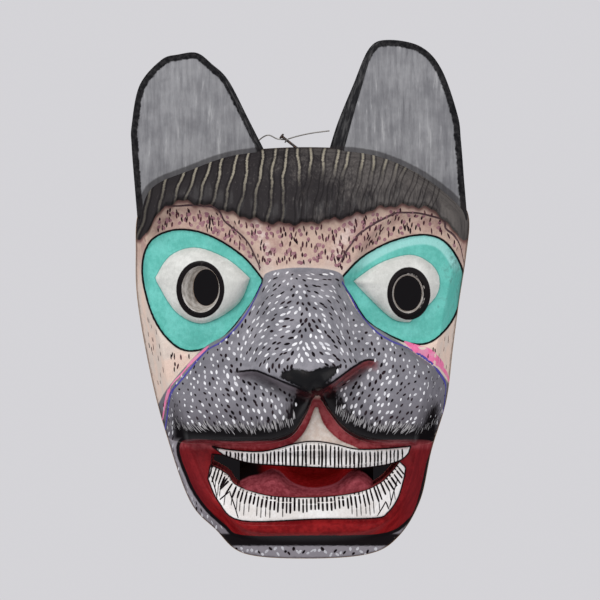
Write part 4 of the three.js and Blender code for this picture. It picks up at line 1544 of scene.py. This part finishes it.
@dataclass
class PaintedMarks:
    """The dabs, dashes and lines that are painted over the face."""

    surface: BVHTree
    dab_spacing: float = 4.1
    dab_length: float = 3.0
    dab_width: float = 1.42
    steep_from: float = 52.0  # past this the muzzle's wall is steep and its dabs are smaller
    steep_length: float = 2.6
    steep_width: float = 1.1
    jowl_margin: float = 11.5  # the black edge along the jowls stays free of dabs
    tooth_pitch: float = 2.45
    dash_count: int = 3300
    dash_share: float = 0.6
    chin_v: float = -154.6
    brushes: dict[str, Brush] = field(default_factory=dict)

    def brush(self, name: str) -> Brush:
        """The brush of one paint, taken up when it is first wanted."""
        return self.brushes.setdefault(name, Brush(name, self.surface))

    def lines(self) -> None:
        """Draws the long lines round the eyes and down the snout."""
        chance = random.Random(SEED + 1)
        for points, width in (
            (
                [
                    (-83, 58), (-68, 58), (-52, 56.6), (-46, 48.6), (-38.7, 42), (-32.4, 35.4), (-27.4, 27),
                    (-24.2, 19.7)
                ],
                1.5
            ),
            (
                [
                    (25, 23), (30, 33), (37, 41), (44, 45.6), (61.5, 54), (86, 50), (89.6, 44.4),
                    (95.3, 39.3), (99, 31.4), (101, 18)
                ],
                1.3
            ),
        ):
            self.brush("brow_lines").stroke(wander(smooth_line(points, 110), 0.25, chance), width, 0.22)
        for points in (
            [
                (-23, 10), (-31.5, -6), (-39.5, -17.5), (-49, -26), (-58, -31.8), (-71, -46.7),
                (-79.3, -57.3), (-81, -68), (-83, -80)
            ],
            [
                (25.5, 11), (31, 2), (38, -9.5), (46.6, -19.5), (56, -25), (65.4, -29), (81.9, -40.5),
                (89, -50), (89, -60), (87.5, -70)
            ],
        ):
            self.brush("blue_lines").stroke(wander(smooth_line(points, 120), 0.2, chance), 2.3, 0.25)
        for points, width in (
            ([(-57, -28.6), (-63, -34.5), (-69.5, -40.5)], 6.4),
            ([(-66, -38), (-73.5, -46.5), (-81, -56), (-83.5, -66), (-85, -78)], 3.2),
            ([(64, -25.6), (74, -30.6), (83, -36.2), (88.5, -41)], 6.4),
            ([(84, -38.5), (90.8, -47.5), (91.8, -58), (90.3, -69)], 3.0),
        ):
            self.brush("pink_lines").stroke(wander(smooth_line(points, 40), 0.3, chance), width, 0.16, 0.8)

    def snout(self) -> None:
        """Covers the muzzle with dabs of white and black in staggered rows."""
        chance = random.Random(SEED + 2)
        step = self.dab_spacing
        rows = int(130 / step)
        for row in range(rows):
            for column in range(-26, 27):
                u = (column + 0.5 * (row % 2)) * step + chance.uniform(-1.05, 1.05) + 4
                v = 16 - row * step * 0.86 + chance.uniform(-1.05, 1.05)
                self.snout_dab(u, v, chance)
                spot = self.brush("white_dabs").land(u, v) if abs(u - 6) > 48 else None
                clear = v > float(jowl_edge(np.array([u]))[0]) + 20
                extra = int(min(0.4 / max(abs(spot[1].y), 0.05), 5)) if spot and clear else 0
                for _ in range(extra):
                    self.snout_dab(u + chance.uniform(-1.2, 1.2), v + chance.uniform(-1.6, 1.6), chance)

    def snout_dab(self, u: float, v: float, chance: random.Random) -> None:
        """Lays one of the muzzle's dabs where it falls inside the muzzle.

        Args:
            u, v: its middle on the drawing.
            chance: the source of its lean, colour and size.
        """
        lean = chance.uniform(-0.35, 0.35)
        black = chance.random() < 0.5
        grow = chance.uniform(0.8, 1.15)
        at_u, at_v = np.array([u]), np.array([v])
        within = float(inside_by(MUZZLE, at_u, at_v)[0])
        over_jowl = v - float(jowl_edge(at_u)[0])
        over_nose = v - float(nose_edge(at_u)[0])
        on_tip = math.hypot((u - 6.5) / 18, (v + 48) / 9) < 1
        if within < 2.2 or over_jowl < self.jowl_margin or on_tip or (-6 < over_nose < 2.4 and -38 < u < 46):
            return
        side = abs(u - 6)
        on_jowl = v < -40 or side > 38
        lean = lean + (-0.012 * (u - 6) if on_jowl else 0.9 * math.sin(u / 9) + 0.5 * math.sin(v / 11))
        grow *= 0.86 if v < -52 else 1.0
        steep = side >= self.steep_from
        length = grow * (self.steep_length if steep else self.dab_length)
        width = grow * (self.steep_width if steep else self.dab_width)
        self.brush("black_dabs" if black else "white_dabs").dab(u, v, lean, length, width)

    def fleck(self, name: str, middle: Array, half: Array, width: float) -> None:
        """Lays one short straight stroke, a half length to either side of its middle."""
        self.brush(name).stroke(middle + half * np.linspace(-1, 1, 5)[:, None], width, swell=0.75)

    def fur(self) -> None:
        """Draws light hairs over the black margin along the jowls, and dabs on the chin and sides."""
        chance = random.Random(SEED + 3)
        for u in np.arange(-80, 87, 1.05):
            base = float(jowl_edge(np.array([u]))[0])
            if -3 < u < 22:
                continue
            for _ in range(2):
                top = base + chance.uniform(8, 13)
                length = chance.uniform(3, 5)
                lean = -0.01 * (u - 6) + chance.uniform(-0.2, 0.2)
                self.brush("pale_hairs").dab(
                    u + chance.uniform(-0.7, 0.7), top, lean, length, chance.uniform(0.32, 0.55)
                )
        for u in np.arange(-48, 60, 2.3):
            middle = np.array([u + chance.uniform(-0.8, 0.8), self.chin_v + chance.uniform(-1.9, 2.2)])
            half = np.array([chance.uniform(-0.8, 0.8), chance.uniform(0.8, 1.3)])
            name = "white_dabs" if chance.random() < 0.7 else "black_dabs"
            self.fleck(name, middle, half, chance.uniform(1.4, 2.0))
        for v in np.arange(-64, -140, -3.6):
            for u in np.arange(-84, 90, 3.0):
                at_u = np.array([u + chance.uniform(-0.8, 0.8)])
                at_v = np.array([v + chance.uniform(-0.8, 0.8)])
                outside = float(inside_by(LIPS, at_u, at_v)[0]) < -2.6
                flank = at_u[0] < -76 or at_u[0] > 83
                under = at_v[0] < -86 and at_v[0] < float(jowl_edge(at_u)[0]) - 2
                if outside and float(inside_by(HEAD, at_u, at_v)[0]) > 0.7 and (flank or under):
                    name = "white_dabs" if chance.random() < 0.6 else "black_dabs"
                    half = np.array([chance.uniform(-0.5, 0.5), chance.uniform(0.9, 1.4)])
                    self.fleck(name, np.array([at_u[0], at_v[0]]), half, 1.3)

    def teeth(self) -> None:
        """Rules the teeth with fine black lines."""
        chance = random.Random(SEED + 4)
        brush = self.brush("tooth_lines")
        for u in np.arange(-50, 63, self.tooth_pitch):
            u += chance.uniform(-0.35, 0.35)
            v = np.linspace(-86, -105, 80)
            inside = v[inside_by(UPPER_TEETH, np.full(80, u), v) > 0.8]
            if len(inside) > 8:
                bow = chance.uniform(-0.35, 0.35) * np.sin(np.linspace(0, np.pi, 10))
                line = np.linspace(inside[0], inside[-1] - 0.9, 10)
                brush.stroke(np.stack([u + bow, line], -1), chance.uniform(0.9, 1.25), 0.3, 0.35)
        edge = LOWER_TEETH[:49]
        run = np.concatenate([[0], np.cumsum(np.linalg.norm(np.diff(edge, axis=0), axis=1))])
        for at in np.arange(1.2, run[-1] - 1, self.tooth_pitch):
            at += chance.uniform(-0.3, 0.3)
            start = np.array([np.interp(at, run, edge[:, 0]), np.interp(at, run, edge[:, 1])])
            ahead = np.array([np.interp(at + 1, run, edge[:, 0]), np.interp(at + 1, run, edge[:, 1])]) - start
            down = np.array([ahead[1], -ahead[0]]) / max(np.hypot(*ahead), 1e-6) + (0.0, -0.45)
            down /= np.hypot(*down)
            bold = chance.uniform(7.5, 10.5)
            reach = start + down * np.linspace(0.2, bold, 9)[:, None]
            brush.stroke(reach, chance.uniform(0.95, 1.3), 0.3, 0.3)
            if chance.random() < 0.75:
                lower = reach[-1] + np.array([0.25 * down[0], -1]) * np.linspace(
                    0, chance.uniform(4, 7.5), 8
                )[:, None]
                if float(inside_by(LOWER_TEETH, lower[-1:, 0], lower[-1:, 1])[0]) > 0.2:
                    brush.stroke(lower, 0.5, 0.22, 0.5)
        for points in (
            [(-54.5, -108), (-50.3, -123.8), (-43.2, -117.7), (-38, -134)],
            [(47.5, -133), (52.7, -123.8), (54.7, -128.9), (60, -110)]
        ):
            line = np.concatenate(
                [np.linspace(a, b, 7)[:-1] for a, b in zip(points, points[1:])] + [[points[-1]]]
            )
            brush.stroke(wander(line, 0.1, chance), 0.8, 0.14)

    def skin(self) -> None:
        """Scatters dashes and soft spots over the forehead and cheeks."""
        chance = random.Random(SEED + 5)
        for _ in range(self.dash_count):
            u, v = chance.uniform(-96, 100), chance.uniform(-78, 56)
            at_u, at_v = np.array([u]), np.array([v])
            clear = v < float(hair_edge(at_u)[0]) - 3
            clear = clear and all(float(inside_by(line, at_u, at_v)[0]) < -2.5 for line in (*SOCKETS, MUZZLE))
            if not clear or float(inside_by(HEAD, at_u, at_v)[0]) < 2.5:
                continue
            kind = chance.random()
            lean = chance.uniform(-0.25, 0.25)
            if kind < self.dash_share:
                self.brush("dark_dashes").dab(
                    u, v, lean, chance.uniform(2.4, 3.8), chance.uniform(0.75, 1.15)
                )
            elif v > 8:
                self.brush("mauve_spots").dab(u, v, lean * 5, 2.4, 1.9)

    def seams(self) -> None:
        """Draws the open joints where the ears meet the head."""
        chance = random.Random(SEED + 6)
        for points in (
            [(-96, 66), (-85, 75), (-67, 82.5), (-48, 89.3), (-31, 92.3)],
            [(53, 89), (66, 83.5), (79, 76.5), (91, 67), (100, 57.5)],
            [(58, 84.5), (72, 77), (86, 67), (96, 58)],
        ):
            self.brush("seam_cracks").stroke(wander(smooth_line(points, 60), 0.12, chance, 5), 0.9, 0.12, 0.7)

    def build(self) -> list[bpy.types.Object]:
        """Paints everything and makes one piece of each paint."""
        for draw in (self.lines, self.snout, self.fur, self.teeth, self.skin, self.seams):
            draw()
        paints = {
            "brow_lines": BrushPaint("brow_brown", (96, 74, 76), (78, 60, 64)),
            "blue_lines": BrushPaint("violet_blue", (74, 70, 150), (96, 92, 166)),
            "pink_lines": BrushPaint("candy_pink", (240, 118, 166), (226, 150, 180)),
            "white_dabs": BrushPaint("dab_white", (238, 238, 240), (208, 208, 212)),
            "black_dabs": BrushPaint("dab_black", (20, 18, 21), (44, 34, 38)),
            "pale_hairs": BrushPaint("hair_grey", (168, 166, 166), (128, 126, 128)),
            "tooth_lines": BrushPaint("tooth_black", (16, 11, 13), (34, 26, 28)),
            "dark_dashes": BrushPaint("dash_black", (34, 26, 30), (88, 52, 60)),
            "mauve_spots": BrushPaint("spot_mauve", (142, 100, 110), (166, 128, 132)),
            "seam_cracks": BrushPaint("crack_shadow", (30, 25, 24), (52, 44, 40)),
        }
        return [brush.finish(paints[name].make()) for name, brush in self.brushes.items()]


@dataclass
class Ear:
    """A flat board of wood with a dark rim, pegged to the head and slanted along its inner side."""

    name: str
    outline: list[Point]
    foot: list[Point]
    inner: int
    slant: float
    middle: Point
    cells: int = 90
    thick: float = 18.0
    thin: float = 9.0
    foot_v: float = 75.0
    tip_v: float = 158.0
    round_over: float = 2.2
    back_depth: float = 0.25  # the pegs stand this far proud of it

    def depth(self, v: Array) -> Array:
        """Depth of the ear's front."""
        share = np.clip((v - self.foot_v) / (self.tip_v - self.foot_v), 0, 1)
        return self.thick - (self.thick - self.thin) * share

    def build(self, material: bpy.types.Material, wood: bpy.types.Material) -> bpy.types.Object:
        """Shapes the ear from two sheets joined by its side.

        Args:
            material: the finish of its front and side.
            wood: the finish of its back.

        Returns:
            The ear.
        """
        loop = np.vstack([smooth_line(self.outline, 84), np.array(self.foot, float)])
        bm = bmesh.new()
        faces_before: set = set()
        edges = []
        for front in (True, False):
            verts = bmesh.ops.create_grid(bm, x_segments=self.cells, y_segments=self.cells, size=1)["verts"]
            angle, out = concentric(self.cells, 1.3)
            reach = star_reach(loop, self.middle, angle)
            u, v = self.middle[0] + np.cos(angle) * reach * out, self.middle[1] + np.sin(angle) * reach * out
            inward = reach * (1 - out)
            if front:
                across = (u - self.middle[0]) * self.inner
                shift = self.slant * ramp(across, 4, 26) * (1 - 0.6 * ramp(v, 95, 158)) * out**3
                u = u - self.inner * shift
                ripple = 0.25 * np.sin(u / 3.1 + np.sin(v / 15)) + 0.2 * np.sin(v / 11 + u / 8)
                depth = self.depth(v) + ripple - self.round_over * (1 - rounded(inward / 2.6))
            else:
                depth = np.full_like(u, self.back_depth)
            move(verts, seen(u, v, depth))
            new = set(bm.faces) - faces_before
            for face in new:
                face.material_index = 0 if front else 1
            faces_before |= new
            within = set(verts)
            edges += [edge for edge in bm.edges if edge.is_boundary and edge.verts[0] in within]
        side = bmesh.ops.bridge_loops(bm, edges=edges)
        for face in side["faces"]:
            face.material_index = 0
        long_edges = [edge for edge in side["edges"] if edge.is_manifold]
        bmesh.ops.subdivide_edges(bm, edges=long_edges, cuts=3, use_grid_fill=True)
        bmesh.ops.recalc_face_normals(bm, faces=bm.faces)
        obj = piece_from(bm, self.name, [material, wood])
        u, v, depth = mesh_drawn(obj.data)
        keep(obj.data, "rim", inside_by(loop, u, v))
        keep(obj.data, "side", self.depth(v) - 1.6 - depth)
        keep(obj.data, "foot", inside_by(HEAD, u, v) * -1)
        return obj


@dataclass
class Tongue:
    """The tongue, raised at its rim and scooped behind, standing between the teeth."""

    cells: int = 70
    thickness: float = 2.5
    middle: Point = (4.0, -110.0)
    half: Point = (41.0, 14.5)

    def build(self, material: bpy.types.Material) -> bpy.types.Object:
        """Shapes the tongue as a sheet and gives it thickness.

        Args:
            material: its finish.

        Returns:
            The tongue.
        """
        bm = bmesh.new()
        verts = bmesh.ops.create_grid(bm, x_segments=self.cells, y_segments=self.cells // 2, size=1)["verts"]
        square = locations(verts)
        u, v = (self.middle[i] + square[:, i] * self.half[i] for i in (0, 1))
        move(verts, seen(u, v, tongue_depth(u, v)))
        bmesh.ops.recalc_face_normals(bm, faces=bm.faces)
        bmesh.ops.solidify(bm, geom=bm.faces[:], thickness=self.thickness * MM)
        bmesh.ops.recalc_face_normals(bm, faces=bm.faces)
        obj = piece_from(bm, "tongue", [material])
        u, v, _ = mesh_drawn(obj.data)
        keep(obj.data, "over", v - tongue_rim(u))
        keep(obj.data, "across", u)
        return obj


class TonguePaint:
    """Pink-red in front, a bright pink rim, and dark red in the scoop behind."""

    def make(self) -> bpy.types.Material:
        """Builds the material."""
        s = Shader("tongue_paint")
        over = s.attribute("over")
        ragged = s.noise(2.2, detail=4) - 0.5
        front = s.patchy(ragged, 0.35, 0.7, Hue.TONGUE_ROSE, Hue.TONGUE_PINK)
        rim = s.patchy(ragged, 0.35, 0.7, Hue.TONGUE_RIM, Hue.TONGUE_RIM_DARK)
        back = s.patchy(ragged, 0.35, 0.75, Hue.TONGUE_DEEP, Hue.TONGUE_RED)
        colour = s.mix((over + ragged).step(-1.4, -0.6), front, rim)
        colour = s.mix((over + ragged * 1.4).step(0.0, 0.9), colour, back)
        # painted shade: near-black on the tongue's back corners, deep in the mouth's corners
        corner = (abs(s.attribute("across") - 6) + ragged * 7).step(25, 33) * over.step(-0.5, 0.8)
        colour = s.mix(corner, colour, Hue.TONGUE_CORNER.rgba)
        fine = s.noise(0.9)
        return s.finish(
            s.tint(colour, 0.88 + fine * 0.24), 0.42 + ragged * 0.2, s.bump(fine, 0.12),
            Specular_IOR_Level=0.0
        )


# ---- stage ---------------------------------------------------------------------------------------


class Light(Enum):
    """The studio's lights: place, width, height (metres) and power (watts)."""

    KEY = ((-0.75, -1.35, 0.95), 0.9, 0.9, 15.0)
    FILL = ((1.1, -1.2, 0.1), 1.3, 1.0, 4.0)


@dataclass
class Studio:
    """A pale floor, pale air, soft lights, and the camera at the drawing's view point."""

    air: Colour = (0.662, 0.655, 0.682)
    half_frame: float = 184.5

    def build(self) -> None:
        """Sets the stage."""
        scene = bpy.context.scene
        scene.view_settings.view_transform = "Standard"
        world = bpy.data.worlds.new("pale_air")
        world.use_nodes = True
        world.node_tree.nodes["Background"].inputs["Color"].default_value = (*self.air, 1)
        scene.world = world
        camera = bpy.data.objects.new("camera", bpy.data.cameras.new("camera"))
        scene.collection.objects.link(camera)
        camera.data.angle = 2 * math.atan(self.half_frame / VIEW_DISTANCE)
        camera.location = (0, -VIEW_DISTANCE * MM, -HANG_HEIGHT * MM)
        camera.rotation_euler = (math.pi / 2, 0, 0)
        camera.data.clip_start = 0.01
        scene.camera = camera
        for light in Light:
            place, width, height, power = light.value
            data = bpy.data.lights.new(light.name.lower() + "_light", "AREA")
            data.shape, data.size, data.size_y, data.energy = "RECTANGLE", width, height, power
            lamp = bpy.data.objects.new(data.name, data)
            scene.collection.objects.link(lamp)
            lamp.location = place
            lamp.rotation_euler = (Vector((0, 0, -0.08)) - Vector(place)).to_track_quat("-Z", "Y").to_euler()
        self.floor()
        self.flag()

    def floor(self) -> None:
        """Lays a pale floor far below the mask."""
        s = Shader("pale_floor")
        soft = s.noise(300)
        s.finish(s.mix(soft, (0.70, 0.695, 0.715, 1), (0.76, 0.755, 0.775, 1)), 0.9, s.bump(soft, 0.5))
        bm = bmesh.new()
        bmesh.ops.create_circle(bm, cap_ends=True, segments=64, radius=3.0)
        bmesh.ops.translate(bm, verts=bm.verts, vec=(0, 0, -1.2))
        piece_from(bm, "floor", [s.material])

    def flag(self) -> None:
        """Stands a dark card behind the mask, where the mask hides it, to keep the holes dark, standing in
        for the shade seen through them.
        """
        s = Shader("black_card")
        s.finish((0.012, 0.011, 0.012, 1), 0.95, s.bump(s.noise(5), 0.2), Specular_IOR_Level=0.0)
        bm = bmesh.new()
        verts = bmesh.ops.create_grid(bm, x_segments=1, y_segments=1, size=1)["verts"]
        corners = [(-0.165, 1.5, -0.448), (0.165, 1.5, -0.448), (-0.25, 1.5, 0.017), (0.25, 1.5, 0.017)]
        move(verts, np.array(corners))
        piece_from(bm, "dark_flag", [s.material])


# ---- assembly --------------------------------------------------------------------------------------


@dataclass
class Mask:
    """The whole mask: head, painted marks, tongue, two ears, their pegs, and the nails and wire."""

    carving: Carving = field(default_factory=Carving)

    def ride(self, obj: bpy.types.Object, slot: str, *nodes: str) -> None:
        """Lets a piece ride on the mask's one body.

        Args:
            obj: the piece.
            slot: the record's slot that its finish belongs to; not used.
            nodes: the CAD nodes that it stands for.
        """
        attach(obj, "root")
        if nodes:
            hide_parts(*nodes)
        LOG.info("%s: %d faces", obj.name, len(obj.data.polygons))

    def build(self) -> None:
        """Builds and dresses every piece."""
        wood = BareWood("bare_wood").make()
        peg = BareWood("peg_wood", (222, 190, 142), (182, 144, 98)).make()
        bore = BrushPaint("bore_whitewash", (214, 210, 204), (160, 154, 146), 0.7).make()
        gum = BrushPaint("gum_red", (120, 44, 46), (150, 66, 68), 0.5).make()
        head, surface = Head(self.carving).build([FacePaint().make(), bore, wood, gum])
        self.ride(head, "painted_wood", "head")
        for marks in PaintedMarks(surface).build():
            self.ride(marks, "painted_wood")
        self.ride(Tongue().build(TonguePaint().make()), "painted_wood")
        ear_paint = EarPaint().make()
        for ear in (
            Ear(
                "left_ear_board",
                [
                    (-22.4, 93), (-31.6, 111), (-44, 135), (-54, 145), (-63.4, 152), (-75, 151),
                    (-85.3, 147.7), (-98.7, 132), (-103.6, 107), (-103.6, 95), (-101.5, 68), (-100, 50)
                ],
                [(-84, 54), (-50, 72), (-24, 76)], 1, 4, (-68, 100),
            ),
            Ear(
                "right_ear_board",
                [
                    (18, 92.6), (23.4, 109.6), (32.6, 132), (42.5, 154.7), (53.8, 160), (74, 156), (87, 142),
                    (96.9, 114), (99, 98), (101, 73), (103, 49)
                ],
                [(87, 50), (52, 73), (20, 76)], -1, 9, (64, 104),
            ),
        ):
            self.ride(ear.build(ear_paint, wood), "painted_ears", ear.name.removesuffix("_board"))
        pegs = [f"{side}_ear_peg_{place}" for side in ("left", "right") for place in ("inner", "outer")]
        nail = ((74, 70, 68), 0.8, 0.45)
        self.dress(dict.fromkeys(pegs, peg) | {
            "hanger_nail_crown": OldMetal("iron_nail", *nail).make(),
            "hanger_nail_ear": OldMetal("iron_nail_side", *nail).make(),
            "hanger_wire": OldMetal("dull_wire", (146, 143, 138), 0.25, 0.32).make(),
        })

    @staticmethod
    def dress(finishes: dict[str, bpy.types.Material]) -> None:
        """Gives the CAD nodes that stay in view their finishes."""
        for node, material in finishes.items():
            obj = frame["nodes"][node]
            obj = obj if hasattr(obj, "data") else bpy.data.objects[obj]
            obj.data.materials.clear()
            obj.data.materials.append(material)


def main() -> None:
    """Builds the stage and the mask."""
    logging.basicConfig(level=logging.INFO, stream=sys.stdout, format="%(name)s %(message)s")
    Studio().build()
    Mask().build()


if __name__ == "__main__":
    main()
